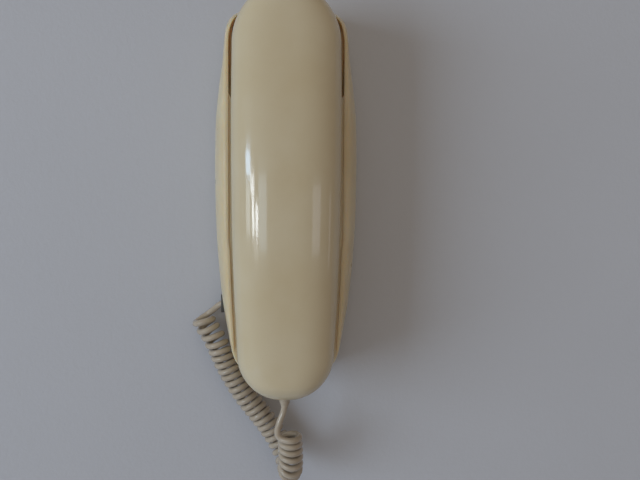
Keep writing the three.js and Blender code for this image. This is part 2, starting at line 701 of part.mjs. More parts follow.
// The base's full outer form, or with inset its hollow, open at the back.
function baseBody(inset) {
  const shrink = (BASE_END - inset) / BASE_END;
  return loft(baseStations().map((z) => {
    const belly = Math.max(baseHalfWidth(z) - inset, 1);
    const front = crestOut(z) - inset;
    const crest = Math.max(Math.min(cradleHalfWidth(z) + CREST_LAND, belly - 1.5), 0.4);
    const undercut = (out) => BACK_UNDERCUT * (1 - out / BELLY_OUT) ** 2;
    const right = [0, 4, 8].map((out) => (
      [Math.max(belly - undercut(out), 0.7), out - (out ? 0 : inset)]
    ));
    for (let i = 0; i <= 6; i += 1) {
      const angle = (Math.PI / 2) * (i / 6);
      right.push([
        crest + (belly - crest) * Math.cos(angle), BELLY_OUT + (front - BELLY_OUT) * Math.sin(angle),
      ]);
    }
    const left = right.map(([x, out]) => [-x, out]).reverse();
    return [...right, ...left].map(([x, out]) => (
      [x, out, z * shrink * (1 - END_LEAN * (Math.max(out, 0) / CREST_OUT) ** 2)]
    ));
  }));
}

// The hollows that the handset lies in. With grow they are the walls round those hollows.
function cradle(grow) {
  const beyond = BASE_END + 5;
  const above = CREST_OUT + 4;
  const wide = CHANNEL_HALF + grow;
  const end = BASE_END - RIM;
  const outlineOf = (halfWidth) => {
    const right = stations(end, CRADLE_TOP_ROUND, CRADLE_LOW_ROUND, 8, 6, 0.98)
      .map((z) => new THREE.Vector2(halfWidth(z) + grow, z * ((end + grow) / end)));
    const left = right.map((point) => new THREE.Vector2(-point.x, point.y)).reverse();
    return new THREE.Shape([...right, ...left]);
  };
  const outline = outlineOf(cradleHalfWidth);
  const earWell = roundedOutline([-wide, wide], [EAR_WELL_LOW_Z - grow, beyond + 20], WELL_CORNER);
  const mouthHalf = MOUTH_WELL_HALF + grow;
  const mouthWell = roundedOutline(
    [-mouthHalf, mouthHalf], [MOUTH_WELL_LOW_Z - grow, MOUTH_WELL_TOP_Z + grow], WELL_CORNER,
  );
  const scoop = HANDSET_WIDTH / 2 - SCOOP_SIDE + grow;
  return join(
    slab(outlineOf(channelHalfWidth), CHANNEL_OUT - grow, above),
    slab(outline, LEDGE_OUT - grow, above),
    common(slab(earWell, EAR_WELL_OUT - grow, above), slab(outline, 0, above)),
    slab(mouthWell, MOUTH_WELL_OUT - grow, above),
    block([-scoop, scoop], [END_LIP_OUT - grow, above], [EAR_WELL_TOP_Z - 4, beyond]),
    block([-scoop, scoop], [END_LIP_OUT - grow, above], [-beyond, MOUTH_WELL_LOW_Z + 4]),
  );
}

function baseCover() {
  const hollow = cut(baseBody(WALL), cradle(WALL));
  const shell = cut(cut(baseBody(0), hollow), cradle(0));
  const front = block([-BASE_WIDTH, BASE_WIDTH], [PLATE_THICK + GAP, CREST_OUT],
    [-BASE_LENGTH, BASE_LENGTH]);
  const inside = common(baseBody(0), front);
  const bosses = BASE_SCREWS.map(([x, z]) => {
    const floor = (z > 0 ? EAR_WELL_OUT : MOUTH_WELL_OUT) - WALL / 2;
    const boss = disc(BOSS_RADIUS, PLATE_THICK + GAP, floor, x, z, 12);
    return cut(boss, disc(SCREW_RADIUS + GAP, 0, SCREW_LENGTH + 1, x, z, 12));
  });
  const jackLow = JACK_OUT - PLUG_HEIGHT / 2 - 2 * GAP;
  const jackHigh = JACK_OUT + PLUG_HEIGHT / 2 + 2 * GAP;
  const jackHalf = PLUG_WIDTH / 2 + 2 * GAP;
  return cut(
    join(shell, ...bosses.map((boss) => common(boss, inside))),
    block([-BASE_WIDTH / 2 - 5, -baseHalfWidth(JACK_Z) + 4], [jackLow, jackHigh],
      [JACK_Z - jackHalf, JACK_Z + jackHalf]),
    block([-HOOK_NOSE_WIDTH / 2 - 1, HOOK_NOSE_WIDTH / 2 + 1], [EAR_WELL_OUT - 4, EAR_WELL_OUT + 1],
      [HOOK_NOSE_Z - 5, HOOK_NOSE_Z + 5]),
    block([-TAB_HALF - GAP, TAB_HALF + GAP], [CHANNEL_OUT - TAB_THICK, CHANNEL_OUT + 1],
      [EAR_WELL_LOW_Z - TAB_LENGTH - 1 - GAP, EAR_WELL_LOW_Z + 2]),
    block([-2.4, 2.4 + SLIDE_TRAVEL], [CHANNEL_OUT - 5, CHANNEL_OUT + 1],
      [RINGER_SWITCH_Z - 1.5, RINGER_SWITCH_Z + 1.5]),
  );
}

function hangerTab() {
  const root = block([-TAB_HALF, TAB_HALF], [CHANNEL_OUT - TAB_THICK + GAP, CHANNEL_OUT],
    [EAR_WELL_LOW_Z - TAB_LENGTH - 1, EAR_WELL_LOW_Z - 1]);
  const tongue = alongLift(TONGUE_START, TONGUE_WIDTH, TONGUE_THICK, TONGUE_LENGTH);
  const below = block([-20, 20], [0, CHANNEL_OUT - TAB_THICK + GAP], [0, 90]);
  return cut(join(root, tongue), below);
}

function ringerSwitchKnob() {
  const under = CHANNEL_OUT - WALL - GAP;
  const depth = [RINGER_SWITCH_Z - 1.2, RINGER_SWITCH_Z + 1.2];
  const stem = block([-2, 2], [under - 0.4, CHANNEL_OUT + 1.2], depth);
  const flange = block([-3.5, 3.5], [under - SLIDE_PLATE, under],
    [RINGER_SWITCH_Z - 2.4, RINGER_SWITCH_Z + 2.4]);
  return join(stem, flange);
}

function ringerSwitchBody() {
  const top = CHANNEL_OUT - WALL - GAP;
  const long = [RINGER_SWITCH_Z - 3.5, RINGER_SWITCH_Z + 3.5];
  const body = block([-7, 7 + SLIDE_TRAVEL], [top - 6, top - SLIDE_PLATE - GAP], long);
  const ends = [[-7, -5.5], [5.5 + SLIDE_TRAVEL, 7 + SLIDE_TRAVEL]].map((span) => (
    block(span, [top - 2, top], long)
  ));
  return join(body, ...ends);
}

function keyhole(z) {
  const slot = new THREE.Shape();
  slot.absarc(0, z + KEYHOLE_RUN, KEYHOLE_SLOT, 0, Math.PI);
  slot.lineTo(-KEYHOLE_SLOT, z);
  slot.lineTo(KEYHOLE_SLOT, z);
  return join(
    disc(KEYHOLE_RADIUS, -1, PLATE_THICK + 1, 0, z, 20),
    slab(slot, -1, PLATE_THICK + 1, 8),
  );
}

function boardPosts() {
  const x = BOARD_HALF - 3;
  return [-1, 1].flatMap((side) => [BOARD_LOW_Z + 3, BOARD_HIGH_Z - 3].map((z) => [side * x, z]));
}

function rearPlate() {
  const shrink = (BASE_END - PLATE_FIT) / BASE_END;
  const right = baseStations().map((z) => {
    const half = baseHalfWidth(z) - BACK_UNDERCUT - PLATE_FIT;
    return new THREE.Vector2(Math.max(half, 0.5), z * shrink);
  });
  const left = right.map((point) => new THREE.Vector2(-point.x, point.y)).reverse();
  const plate = slab(new THREE.Shape([...right, ...left]), 0, PLATE_THICK);
  const posts = boardPosts().map(([x, z]) => (
    disc(2.2, PLATE_THICK - 0.5, PLATE_THICK + BOARD_STANDOFF, x, z, 10)
  ));
  const earIn = HOOK_PIN_LENGTH / 2 - HOOK_EAR_THICK;
  const ears = [-1, 1].map((side) => {
    const span = [side * earIn, side * (earIn + HOOK_EAR_THICK)].sort((a, b) => a - b);
    return block(span, [PLATE_THICK - 0.5, HOOK_PIVOT_OUT + HOOK_HUB_RADIUS],
      [HOOK_PIVOT_Z - 3, HOOK_PIVOT_Z + 3]);
  });
  const pinHole = crossRod(HOOK_PIN_RADIUS + GAP, HOOK_PIN_LENGTH + 4, HOOK_PIVOT_OUT, HOOK_PIVOT_Z, 12);
  return cut(
    join(plate, ...posts, ...ears),
    pinHole, keyhole(KEYHOLE_Z), keyhole(-KEYHOLE_Z),
    block([LINE_JACK_X - LINE_JACK_HALF - GAP, LINE_JACK_X + LINE_JACK_HALF + GAP],
      [-1, PLATE_THICK + 1], [LINE_JACK_LOW_Z - LINE_POCKET, LINE_JACK_TOP_Z + GAP]),
    ...BASE_SCREWS.flatMap(([x, z]) => [
      disc(SCREW_HEAD_RADIUS + GAP, -1, SCREW_HEAD_THICK, x, z, 12),
      disc(SCREW_RADIUS + GAP, -1, PLATE_THICK + 1, x, z, 12),
    ]),
  );
}

function lineBoard() {
  return block([-BOARD_HALF, BOARD_HALF], [BOARD_OUT, BOARD_TOP], [BOARD_LOW_Z, BOARD_HIGH_Z]);
}

function ringerSounder() {
  const low = BOARD_TOP + GAP;
  const high = low + SOUNDER_THICK;
  const profile = [
    [0, low], [SOUNDER_RADIUS, low], [SOUNDER_RADIUS, high], [3, high], [3, high - 1.5],
    [0, high - 1.5],
  ];
  return turned(profile, 0, (BOARD_LOW_Z + BOARD_HIGH_Z) / 2 - 10);
}

function hookLever() {
  const half = HOOK_PIN_LENGTH / 2 - HOOK_EAR_THICK - GAP;
  const hub = crossRod(HOOK_HUB_RADIUS, 2 * half, HOOK_PIVOT_OUT, HOOK_PIVOT_Z, 16);
  const arm = block([-half + 2, half - 2],
    [HOOK_PIVOT_OUT - HOOK_ARM_THICK / 2, HOOK_PIVOT_OUT + HOOK_ARM_THICK / 2],
    [HOOK_PIVOT_Z - 9, HOOK_NOSE_Z + 3]);
  const nose = block([-HOOK_NOSE_WIDTH / 2, HOOK_NOSE_WIDTH / 2], [HOOK_PIVOT_OUT, EAR_CUP_OUT - GAP],
    [HOOK_NOSE_Z - 3, HOOK_NOSE_Z + 3]);
  const bore = crossRod(HOOK_PIN_RADIUS + GAP, 3 * half, HOOK_PIVOT_OUT, HOOK_PIVOT_Z, 12);
  return cut(join(hub, arm, nose), bore);
}

function hookPin() {
  return crossRod(HOOK_PIN_RADIUS, HOOK_PIN_LENGTH, HOOK_PIVOT_OUT, HOOK_PIVOT_Z);
}

function hookSwitch() {
  const low = BOARD_TOP + GAP;
  const half = HOOK_SWITCH_WIDTH / 2;
  const body = block([-half, half], [low, low + HOOK_SWITCH_TALL],
    [BOARD_HIGH_Z - 1 - HOOK_SWITCH_LENGTH, BOARD_HIGH_Z - 1]);
  const leaf = block([-half / 3, half / 3], [low, low + HOOK_LEAF_THICK],
    [BOARD_HIGH_Z - 2, BOARD_HIGH_Z + 5]);
  return join(body, leaf);
}

// A short compression spring between the rear plate and the hook lever's arm.
function hookSpring() {
  const radius = HOOK_SPRING_WIRE / 2;
  const low = PLATE_THICK + GAP + radius;
  const high = HOOK_PIVOT_OUT - HOOK_ARM_THICK / 2 - GAP - radius;
  const steps = HOOK_SPRING_TURNS * CURL_STEPS;
  const points = Array.from({ length: steps + 1 }, (_, i) => {
    const angle = (2 * Math.PI * i) / CURL_STEPS;
    const out = THREE.MathUtils.lerp(low, high, i / steps);
    const x = HOOK_SPRING_RADIUS * Math.cos(angle);
    return toPoint([x, out, HOOK_NOSE_Z - 7 + HOOK_SPRING_RADIUS * Math.sin(angle)]);
  });
  return sweep(points, radius, CURL_SIDES);
}

function handsetJack() {
  const half = PLUG_WIDTH / 2 + GAP + JACK_WALL;
  const face = -baseHalfWidth(JACK_Z - half) + BACK_UNDERCUT + PLATE_FIT;
  const back = PLUG_REAR_X + PLUG_LENGTH + GAP + JACK_WALL;
  const body = block([face, back],
    [PLATE_THICK + GAP, JACK_OUT + PLUG_HEIGHT / 2 + GAP + JACK_WALL], [JACK_Z - half, JACK_Z + half]);
  const socket = block([face - 1, back - JACK_WALL],
    [JACK_OUT - PLUG_HEIGHT / 2 - GAP, JACK_OUT + PLUG_HEIGHT / 2 + GAP],
    [JACK_Z - PLUG_WIDTH / 2 - GAP, JACK_Z + PLUG_WIDTH / 2 + GAP]);
  return cut(body, socket);
}

function cordPlug() {
  const half = PLUG_WIDTH / 2;
  const body = block([PLUG_REAR_X, PLUG_REAR_X + PLUG_LENGTH],
    [JACK_OUT - PLUG_HEIGHT / 2, JACK_OUT + PLUG_HEIGHT / 2 - 1.6], [JACK_Z - half, JACK_Z + half]);
  const latch = block([PLUG_REAR_X + 1, PLUG_REAR_X + PLUG_LENGTH - 1],
    [JACK_OUT + PLUG_HEIGHT / 2 - 2, JACK_OUT + PLUG_HEIGHT / 2], [JACK_Z - 1.6, JACK_Z + 1.6]);
  return join(body, latch);
}

function lineJack() {
  const span = [LINE_JACK_X - LINE_JACK_HALF, LINE_JACK_X + LINE_JACK_HALF];
  const low = 0.6;
  const high = low + LINE_SOCKET_HEIGHT + 2 * JACK_WALL;
  const body = block(span, [low, high], [LINE_JACK_LOW_Z, LINE_JACK_TOP_Z]);
  const socket = block(
    [LINE_JACK_X - LINE_SOCKET_WIDTH / 2, LINE_JACK_X + LINE_SOCKET_WIDTH / 2],
    [low + JACK_WALL, high - JACK_WALL], [LINE_JACK_LOW_Z - 1, LINE_JACK_TOP_Z - JACK_WALL],
  );
  return cut(body, socket);
}

// ---------------------------------------------------------------- cord

// One closed tube through the points, with a flat cap at each end.
function sweep(points, radius, sides) {
  const tangents = points.map((_, i) => (
    points[Math.min(i + 1, points.length - 1)].clone()
      .sub(points[Math.max(i - 1, 0)]).normalize()
  ));
  const normal = new THREE.Vector3(0, 0, 1).cross(tangents[0]);
  if (normal.length() < 0.1) normal.set(1, 0, 0);
  const rings = points.map((point, i) => {
    normal.addScaledVector(tangents[i], -normal.dot(tangents[i])).normalize();
    const binormal = tangents[i].clone().cross(normal);
    return Array.from({ length: sides }, (_, k) => {
      const angle = (2 * Math.PI * k) / sides;
      const spot = point.clone()
        .addScaledVector(normal, radius * Math.cos(angle))
        .addScaledVector(binormal, radius * Math.sin(angle));
      return [spot.x, -spot.y, spot.z];
    });
  });
  return loft(rings);
}

function toPoint([x, out, z]) {
  return new THREE.Vector3(x, -out, z);
}

function hanging([x, out, below]) {
  return toPoint([x, out, JACK_Z - below * HANG]);
}

// The coil's helix round its route. A turn takes more of the route where the route bends, so
// that the turns on the inside of the bend stay apart, and where the coil hangs loose.
function helix(stepsPerTurn) {
  const curve = new THREE.CatmullRomCurve3(COIL_ROUTE.map(hanging));
  const fine = 1600;
  const places = curve.getSpacedPoints(fine);
  const step = curve.getLength() / fine;
  const tangents = places.map((_, i) => (
    places[Math.min(i + 1, fine)].clone().sub(places[Math.max(i - 1, 0)]).normalize()
  ));
  const reach = Math.round(3 / step);
  const room = tangents.map((_, i) => {
    const a = Math.max(i - reach, 0);
    const b = Math.min(i + reach, fine);
    const loose = COIL_LOOSE * Math.exp(-(((i * step - COIL_LOOSE_AT) / COIL_LOOSE_SPAN) ** 2));
    return 1 - loose - (COIL_RADIUS * tangents[a].angleTo(tangents[b])) / ((b - a) * step);
  });
  const wound = [0];
  for (let i = 1; i <= fine; i += 1) wound.push(wound[i - 1] + room[i]);
  const turns = Math.floor((wound[fine] * step) / COIL_PITCH) + COIL_LAST_TURN;
  const count = Math.round(turns * stepsPerTurn);
  const side = new THREE.Vector3(-0.88, 0, -0.47);
  const sides = tangents.map((tangent) => {
    side.addScaledVector(tangent, -side.dot(tangent)).normalize();
    return side.clone();
  });
  const points = [];
  for (let k = 0, i = 0; k <= count; k += 1) {
    const target = (wound[fine] * k) / count;
    while (i < fine && wound[i] < target) i += 1;
    const angle = (2 * Math.PI * turns * k) / count;
    const front = tangents[i].clone().cross(sides[i]);
    points.push(places[i].clone()
      .addScaledVector(front, COIL_RADIUS * Math.cos(angle))
      .addScaledVector(sides[i], COIL_RADIUS * Math.sin(angle)));
  }
  return points;
}

// The point a cord diameter beyond the first of three, straight on from the curve through them.
function straightOn(first, second, third) {
  const away = third.clone().addScaledVector(second, -4).addScaledVector(first, 3);
  return first.clone().add(away.setLength(CORD_DIAMETER));
}

// The helix with a straight run of one cord diameter at each end.
function curlPoints() {
  const points = helix(CURL_STEPS);
  return [straightOn(...points.slice(0, 3)), ...points, straightOn(...points.slice(-3).reverse())];
}

// The least room between two turns, from points that aren't neighbours in a row.
function leastGap(points) {
  let least = Infinity;
  points.forEach((point, a) => {
    points.slice(a + CURL_STEPS / 2).forEach((other) => {
      least = Math.min(least, point.distanceTo(other) - CORD_DIAMETER);
    });
  });
  return least;
}

function lead(points) {
  const curve = new THREE.CatmullRomCurve3(points);
  const circle = new THREE.Shape().absarc(0, 0, CORD_DIAMETER / 2, 0, 2 * Math.PI);
  return new THREE.ExtrudeGeometry(circle, {
    extrudePath: curve,
    steps: Math.round(curve.getLength() / CORD_DIAMETER) + 2,
    curveSegments: LEAD_SIDES / 2,
    bevelEnabled: false,
  });
}

function leadBase() {
  const curl = curlPoints();
  const toward = curl[1].clone().sub(curl[0]).normalize();
  const end = curl[0].clone().addScaledVector(toward, -GAP);
  const run = end.clone().addScaledVector(toward, -CORD_DIAMETER);
  return lead([...LEAD_BASE_ROUTE.map(hanging), run, end]);
}

function leadHandset() {
  const curl = curlPoints();
  const last = curl.length - 1;
  const away = curl[last].clone().sub(curl[last - 1]).normalize();
  const start = curl[last].clone().addScaledVector(away, GAP);
  const run = start.clone().addScaledVector(away, CORD_DIAMETER / 3);
  const top = toPoint([BOOT_X, BOOT_OUT, BOOT_TIP_Z - GAP]);
  const under = top.clone().add(new THREE.Vector3(0, 0, -CORD_DIAMETER));
  return lead([start, run, ...LEAD_HANDSET_ROUTE.map(hanging), under, top]);
}

// ---------------------------------------------------------------- assembly

const phone = new THREE.Group();
const base = new THREE.Group();
const handset = new THREE.Group();
const cord = new THREE.Group();
phone.add(base, handset, cord);

function put(group, name, geometry, material, position = [0, 0, 0]) {
  const mesh = new THREE.Mesh(geometry, material.clone());
  mesh.name = name;
  mesh.position.set(...position);
  group.add(mesh);
}

put(base, "base_cover", baseCover(), CREAM_SATIN);
put(base, "rear_plate", rearPlate(), CREAM_SATIN);
put(base, "line_board", lineBoard(), BOARD_GREEN);
put(base, "ringer_sounder", ringerSounder(), BRASS);
put(base, "ringer_switch_body", ringerSwitchBody(), DARK);
put(base, "ringer_switch_knob", ringerSwitchKnob(), KEY_GREY);
put(base, "hook_lever", hookLever(), CREAM_SATIN);
put(base, "hook_pin", hookPin(), STEEL);
put(base, "hook_spring", hookSpring(), STEEL);
put(base, "hook_switch", hookSwitch(), DARK);
put(base, "hanger_tab", hangerTab(), CREAM_SATIN);
put(base, "handset_jack", handsetJack(), DARK);
put(base, "line_jack", lineJack(), DARK);
BASE_SCREWS.forEach(([x, z], i) => {
  put(base, `base_screw_${i + 1}`, screw(SCREW_LENGTH), STEEL, [x, 0, z]);
});

put(handset, "handset_cover", handsetCover(), CREAM);
put(handset, "handset_face", handsetFace(), CREAM_SATIN);
put(handset, "receiver_cap", receiverCap(), CREAM_SATIN);
put(handset, "receiver_gasket", receiverGasket(), DARK);
put(handset, "receiver_capsule", receiverCapsule(), STEEL);
put(handset, "mic_boot", micBoot(), DARK);
put(handset, "mic_capsule", micCapsule(), STEEL);
put(handset, "handset_board", handsetBoard(), BOARD_GREEN);
put(handset, "key_mat", keyMat(), DARK);
put(handset, "dial_switch_body", dialSwitchBody(), DARK);
put(handset, "dial_switch_knob", dialSwitchKnob(), KEY_GREY);
put(handset, "cord_boot", cordBoot(), CORD_GREY);
keys().forEach(({ name, x, z, width, height }) => {
  put(handset, name, keyBody(width, height), KEY_GREY, [x, -FACE_OUT, z]);
});
HANDSET_SCREWS.forEach(([x, z], i) => {
  put(handset, `handset_screw_${i + 1}`, screw(SCREW_LENGTH), STEEL, [x, -FACE_OUT, z]);
});

const curl = curlPoints();
console.log("least gap between the cord's curls, mm:", leastGap(curl).toFixed(2));
put(cord, "cord_plug", cordPlug(), CLEAR);
put(cord, "cord_lead_base", leadBase(), CORD_GREY);
put(cord, "cord_curls", sweep(curl, CORD_DIAMETER / 2, CURL_SIDES), CORD_GREY);
put(cord, "cord_lead_handset", leadHandset(), CORD_GREY);

export default phone;
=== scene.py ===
"""A slim corded wall telephone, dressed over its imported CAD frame.

Lengths are in metres unless a name ends in _MM. +Z is up, the wall is the plane y = 0 and the
phone stands out from it along -Y; "out" is a distance from the wall.
"""

import math

import bmesh
import bpy
import numpy as np
from mathutils import Matrix, Vector


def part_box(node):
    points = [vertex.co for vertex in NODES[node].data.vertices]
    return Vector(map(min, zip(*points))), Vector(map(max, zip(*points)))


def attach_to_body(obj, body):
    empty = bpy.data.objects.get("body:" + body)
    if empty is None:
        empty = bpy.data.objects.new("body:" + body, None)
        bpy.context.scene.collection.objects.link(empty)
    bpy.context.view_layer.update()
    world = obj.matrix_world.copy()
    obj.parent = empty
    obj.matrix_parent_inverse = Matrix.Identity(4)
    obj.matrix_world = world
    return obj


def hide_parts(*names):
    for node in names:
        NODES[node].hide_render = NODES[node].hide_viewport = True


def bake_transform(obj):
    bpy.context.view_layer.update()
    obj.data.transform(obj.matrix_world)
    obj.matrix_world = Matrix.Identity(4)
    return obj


bl_info = {
    "name": "Corded Wall Telephone",
    "version": (1, 0, 0),
    "blender": (4, 5, 0),
    "location": "View3D > Sidebar > Telephone",
    "description": "Builds the looks of a slim corded wall telephone",
    "category": "Object",
}

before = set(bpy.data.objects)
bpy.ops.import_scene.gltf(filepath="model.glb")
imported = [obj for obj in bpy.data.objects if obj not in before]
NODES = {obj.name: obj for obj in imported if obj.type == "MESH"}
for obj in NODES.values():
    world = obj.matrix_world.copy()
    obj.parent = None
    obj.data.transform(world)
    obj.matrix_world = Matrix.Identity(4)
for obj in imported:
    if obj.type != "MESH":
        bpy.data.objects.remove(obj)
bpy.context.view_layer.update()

MM = 0.001
JOIN = 1e-6
WELD = 2e-6
SHELL_MM = 2.2
QUARTER = math.pi / 2

# The handset.
HANDSET_END_MM = 102.0
HANDSET_WIDTH_MM = 54.0
HANDSET_TOP_ROUND_MM = 28.0
HANDSET_LOW_ROUND_MM = 21.0
PARTING_OUT_MM = 44.0
COVER_RISE_MM = 17.0
COVER_BOW = 0.1
COVER_END_ROUND_MM = 10.0
COVER_FULLNESS = 2.5
COVER_LIP_MM = 0.5
COVER_LIP_SHARE = 0.4
COVER_LEAST_MM = 0.05
COVER_STEPS = 22

# The base. Its ends lean in and its crest drops towards them.
BASE_END_MM = 99.0
BASE_WIDTH_MM = 75.0
CREST_OUT_MM = 36.0
CREST_LAND_MM = 1.2
CREST_STEPS = 16
BELLY_OUT_MM = 12.0
BELLY_ROWS_MM = (0, 2, 4, 6, 8, 10)
BELLY_PAST_CREST_MM = 1.5
BELLY_LEAST_MM = 1
CREST_LEAST_MM = 0.4
FOOT_LEAST_MM = 0.7
BACK_UNDERCUT_MM = 2.5
END_LEAN = 0.03
END_DROP_MM = 8.0
END_DROP_FROM = 0.77
END_DROP_SPAN = 0.23
CORNER_LENGTH_MM = 17.0
CORNER_POWER = 3
RIM_MM = 3.5

# The cradle. Its groove and the shelf beside the ear well follow the photograph: the CAD source
# has the groove 0.45 mm wider on each side, its ledge 0.5 mm nearer to the wall, and no shelf.
CRADLE_TOP_ROUND_MM = 25.0
CRADLE_TOP_POWER = 3.5
CRADLE_LOW_ROUND_MM = 18.0
CRADLE_LOW_POWER = 3
CRADLE_NARROWS_MM = -25
CRADLE_GAP_MM = 1.95
SIDE_GAP_MM = 0.7
LEDGE_OUT_MM = 35.3
CHANNEL_OUT_MM = 29.0
EAR_WELL_OUT_MM = 18.0
EAR_WELL_LOW_MM = 48.5
EAR_WELL_TOP_MM = 90.0
EAR_SHELF_OUT_MM = 28.0
EAR_SHELF_LOW_MM = 46.2
MOUTH_WELL_OUT_MM = 20.0
MOUTH_WELL_TOP_MM = -54.0
MOUTH_WELL_LOW_MM = -90.0
MOUTH_WELL_HALF_MM = 23.4
WELL_CORNER_MM = 6.0
END_LIP_OUT_MM = 23.8
SCOOP_HALF_MM = 21.5
SCOOP_CORNER_MM = 1.0
SCOOP_OVERLAP_MM = 4
# How far the tools that cut the cradle reach past the crest, past the ends, and past those.
TOOL_OVER_MM = 4
TOOL_PAST_MM = 5
WELL_PAST_MM = 20

# The socket's opening in the base's cover, and the slots for hook, tongue and switch, as spans of
# (x, out, z).
JACK_Z_MM = -58.7
JACK_OUT_MM = 8.8
SOCKET_OUT_MM = (JACK_OUT_MM - 3.9, JACK_OUT_MM + 4.1)
SOCKET_Z_MM = (JACK_Z_MM - 4.4, JACK_Z_MM + 4.4)
SOCKET_PAST_X_MM = -45
SOCKET_DEPTH_MM = 4
SLOTS_MM = [
    ((-4, 4), (EAR_WELL_OUT_MM - 4, EAR_WELL_OUT_MM + 1), (68, 78)),
    ((-7.3, 7.3), (CHANNEL_OUT_MM - 1.4, CHANNEL_OUT_MM + 1), (38.2, 50.5)),
    ((-2.4, 5.4), (CHANNEL_OUT_MM - 5, CHANNEL_OUT_MM + 1), (-41.5, -38.5)),
]

# The socket's rim: a block and its hole, as half height, ends by (depth, inset), corner radius.
RIM_PROUD_MM = 1.7
RIM_NARROWER_MM = 0.4
RIM_BLOCK_MM = (4.9, ((3.2, 0), (0.35, 0), (0.1, 0.1), (0, 0.35)), 0.9)
RIM_HOLE_MM = (3.8, ((4, 0), (0.3, 0), (-0.1, -0.3)), 0.6)

# The strain relief: its head by (radius, height above the handset's lower end), then a neck and
# a ribbed cone.
BOOT_X_MM = -0.4
BOOT_OUT_MM = 39.6
BOOT_RADIUS_MM = 3.2
BOOT_AXIS_MM = 0.05
BOOT_HEAD_MM = [(BOOT_AXIS_MM, 8.1), (4.0, 8.1), (4.2, 7.9), (4.2, 6.5), (4.0, 6.3),
                (BOOT_RADIUS_MM, 6.25)]
BOOT_NECK_MM = 1.6
BOOT_TIP_MM = -107.3
BOOT_TIP_WALL_MM = 0.3
BOOT_TIP_ROUND_MM = 0.2
BOOT_CONE_SHARE = 0.97
BOOT_CONE_POWER = 0.9
BOOT_RIBS = 2
BOOT_GROOVE_MM = 0.12
BOOT_STEPS = 24
BOOT_SIDES = 40

# Shares of the widest half width, from -1 at the lower end to 1 at the upper.
HANDSET_TAPER = [
    (-1, 0.85), (-0.73, 0.903), (-0.51, 0.944), (-0.26, 0.978), (0, 0.995), (0.36, 1),
    (0.73, 0.985), (1, 0.97),
]
BASE_TAPER = [
    (-1, 0.64), (-0.77, 0.795), (-0.53, 0.908), (-0.2, 0.981), (0.15, 1), (0.39, 0.987),
    (0.5, 0.96), (0.61, 0.923), (0.72, 0.877), (0.82, 0.853), (1, 0.83),
]

# The cord's route, (x, out, below the jack) in millimetres: from the plug, along the coil, up to
# the handset.
LEAD_BASE_ROUTE = [(-31.7, 8.8, 0), (-33.8, 8.8, 0), (-36.9, 7.2, 1.9), (-39.6, 5.0, 4.6)]
COIL_ROUTE = [
    (-45.2, 8.8, 8.4), (-43.4, 9.0, 12.0), (-39.7, 8.6, 18.1), (-36.5, 8.2, 24.9),
    (-33.6, 8.0, 31.7), (-30.2, 7.8, 38.5), (-26.1, 7.8, 45.8), (-21.5, 7.8, 52.7),
    (-17.0, 7.8, 58.5), (-12.4, 7.9, 64.3), (-8.0, 8.1, 70.3), (-4.2, 8.8, 76.2),
    (-1.0, 10.8, 82.0), (1.2, 14.8, 86.5), (2.2, 20.0, 88.5), (2.7, 25.6, 87.7),
    (2.9, 30.4, 83.8), (2.9, 33.6, 77.9), (2.7, 35.6, 71.3), (2.3, 37.2, 64.6),
]
LEAD_HANDSET_ROUTE = [
    (-3.6, 40.3, 64.6), (-4.4, 40.1, 62.7), (-4.1, 40.0, 60.4), (-2.6, 39.8, 55.6),
    (-0.6, 39.6, 50.7), (-0.4, 39.6, 47.6),
]
CORD_DIAMETER_MM = 3.1
CORD_STEP_MM = 1.1
CORD_SMOOTHINGS = 6
CORD_SIDES = 12
COIL_PITCH_MM = 3.62
COIL_LAST_TURN = 0.2
COIL_SIDE = (-0.88, 0, -0.47)
COIL_START_LEAD_MM = 3.5
COIL_END_LEAD_MM = 1.3
COIL_STEPS = 26
ROUTE_STEPS = 1600
BEND_REACH_MM = 3
# The first turns hang loose: by how much, where along the coil, and over what length.
COIL_LOOSE = 0.2
COIL_LOOSE_AT_MM = 13.0
COIL_LOOSE_SPAN_MM = 7.0

# The keys' (cap size, symbol size), and the dish in a cap as (share of its size, depth).
KEY_MM = ((10.5, 8), 5.2)
SMALL_KEY_MM = ((13, 5.4), 4.2)
KEY_FLANGE_MM = 0.8
FLANGE_CORNER_MM = 1.6
KEY_CORNER_MM = 1.8
KEY_ROUND_MM = 0.6
KEY_ROUND_STEPS = 5
KEY_CORNER_SHRINK = 0.8
KEY_DISH = ((0.82, 0.03), (0.62, 0.16), (0.36, 0.24), (0.12, 0.26))
DISH_CORNER_MM = 1.2
INK_HALF_DEPTH_MM = 0.12
INK_OUT_MM = 0.2

# The wires in the line socket, and how far the screws' crosses are turned.
CONTACT_SPACING_MM = 1.02
CONTACT_COLUMNS = (-2.5, -1.5, -0.5, 0.5, 1.5, 2.5)
CONTACT_INSET_MM = (2.1, 1.9)
SCREW_TURN = 0.4

# Shading. A relief is the height, in metres, of a bump; a tint is a share of each colour.
PLASTIC_RELIEF = 0.00002
METAL_RELIEF = 0.00001
TRACK_RELIEF = 0.00004
JACKET_RELIEF = 0.00004
PAINT_RELIEF = 0.00012
SCRATCHES = ((0.35, 60, 42), (-0.6, 75, 33), (1.3, 55, 26))
DUST_COLOUR = (0.16, 0.13, 0.09)
YELLOWED_TINT = (0.86, 0.78, 0.62)
GRIME_TINT = (0.72, 0.68, 0.6)
GLOW_RADIUS = (1.0, 0.72, 0.42)
GLOW_SCALE = 0.006
# Painted shade and a painted warm glow for the base's crevices: the tint darkens blue and green and
# lightens red.
CREVICE_SHADE_TINT = (1.6, 1.08, 0.52)
CREVICE_REACH = 0.012
CREVICE_OPENNESS = (0.12, 0.6)
# From y, to y, and the painted crevice shade's share at each.
CREVICE_FADES = ((-0.016, -0.010, 1.0, 0.0), (-0.0346, -0.034, 0.35, 1.0))

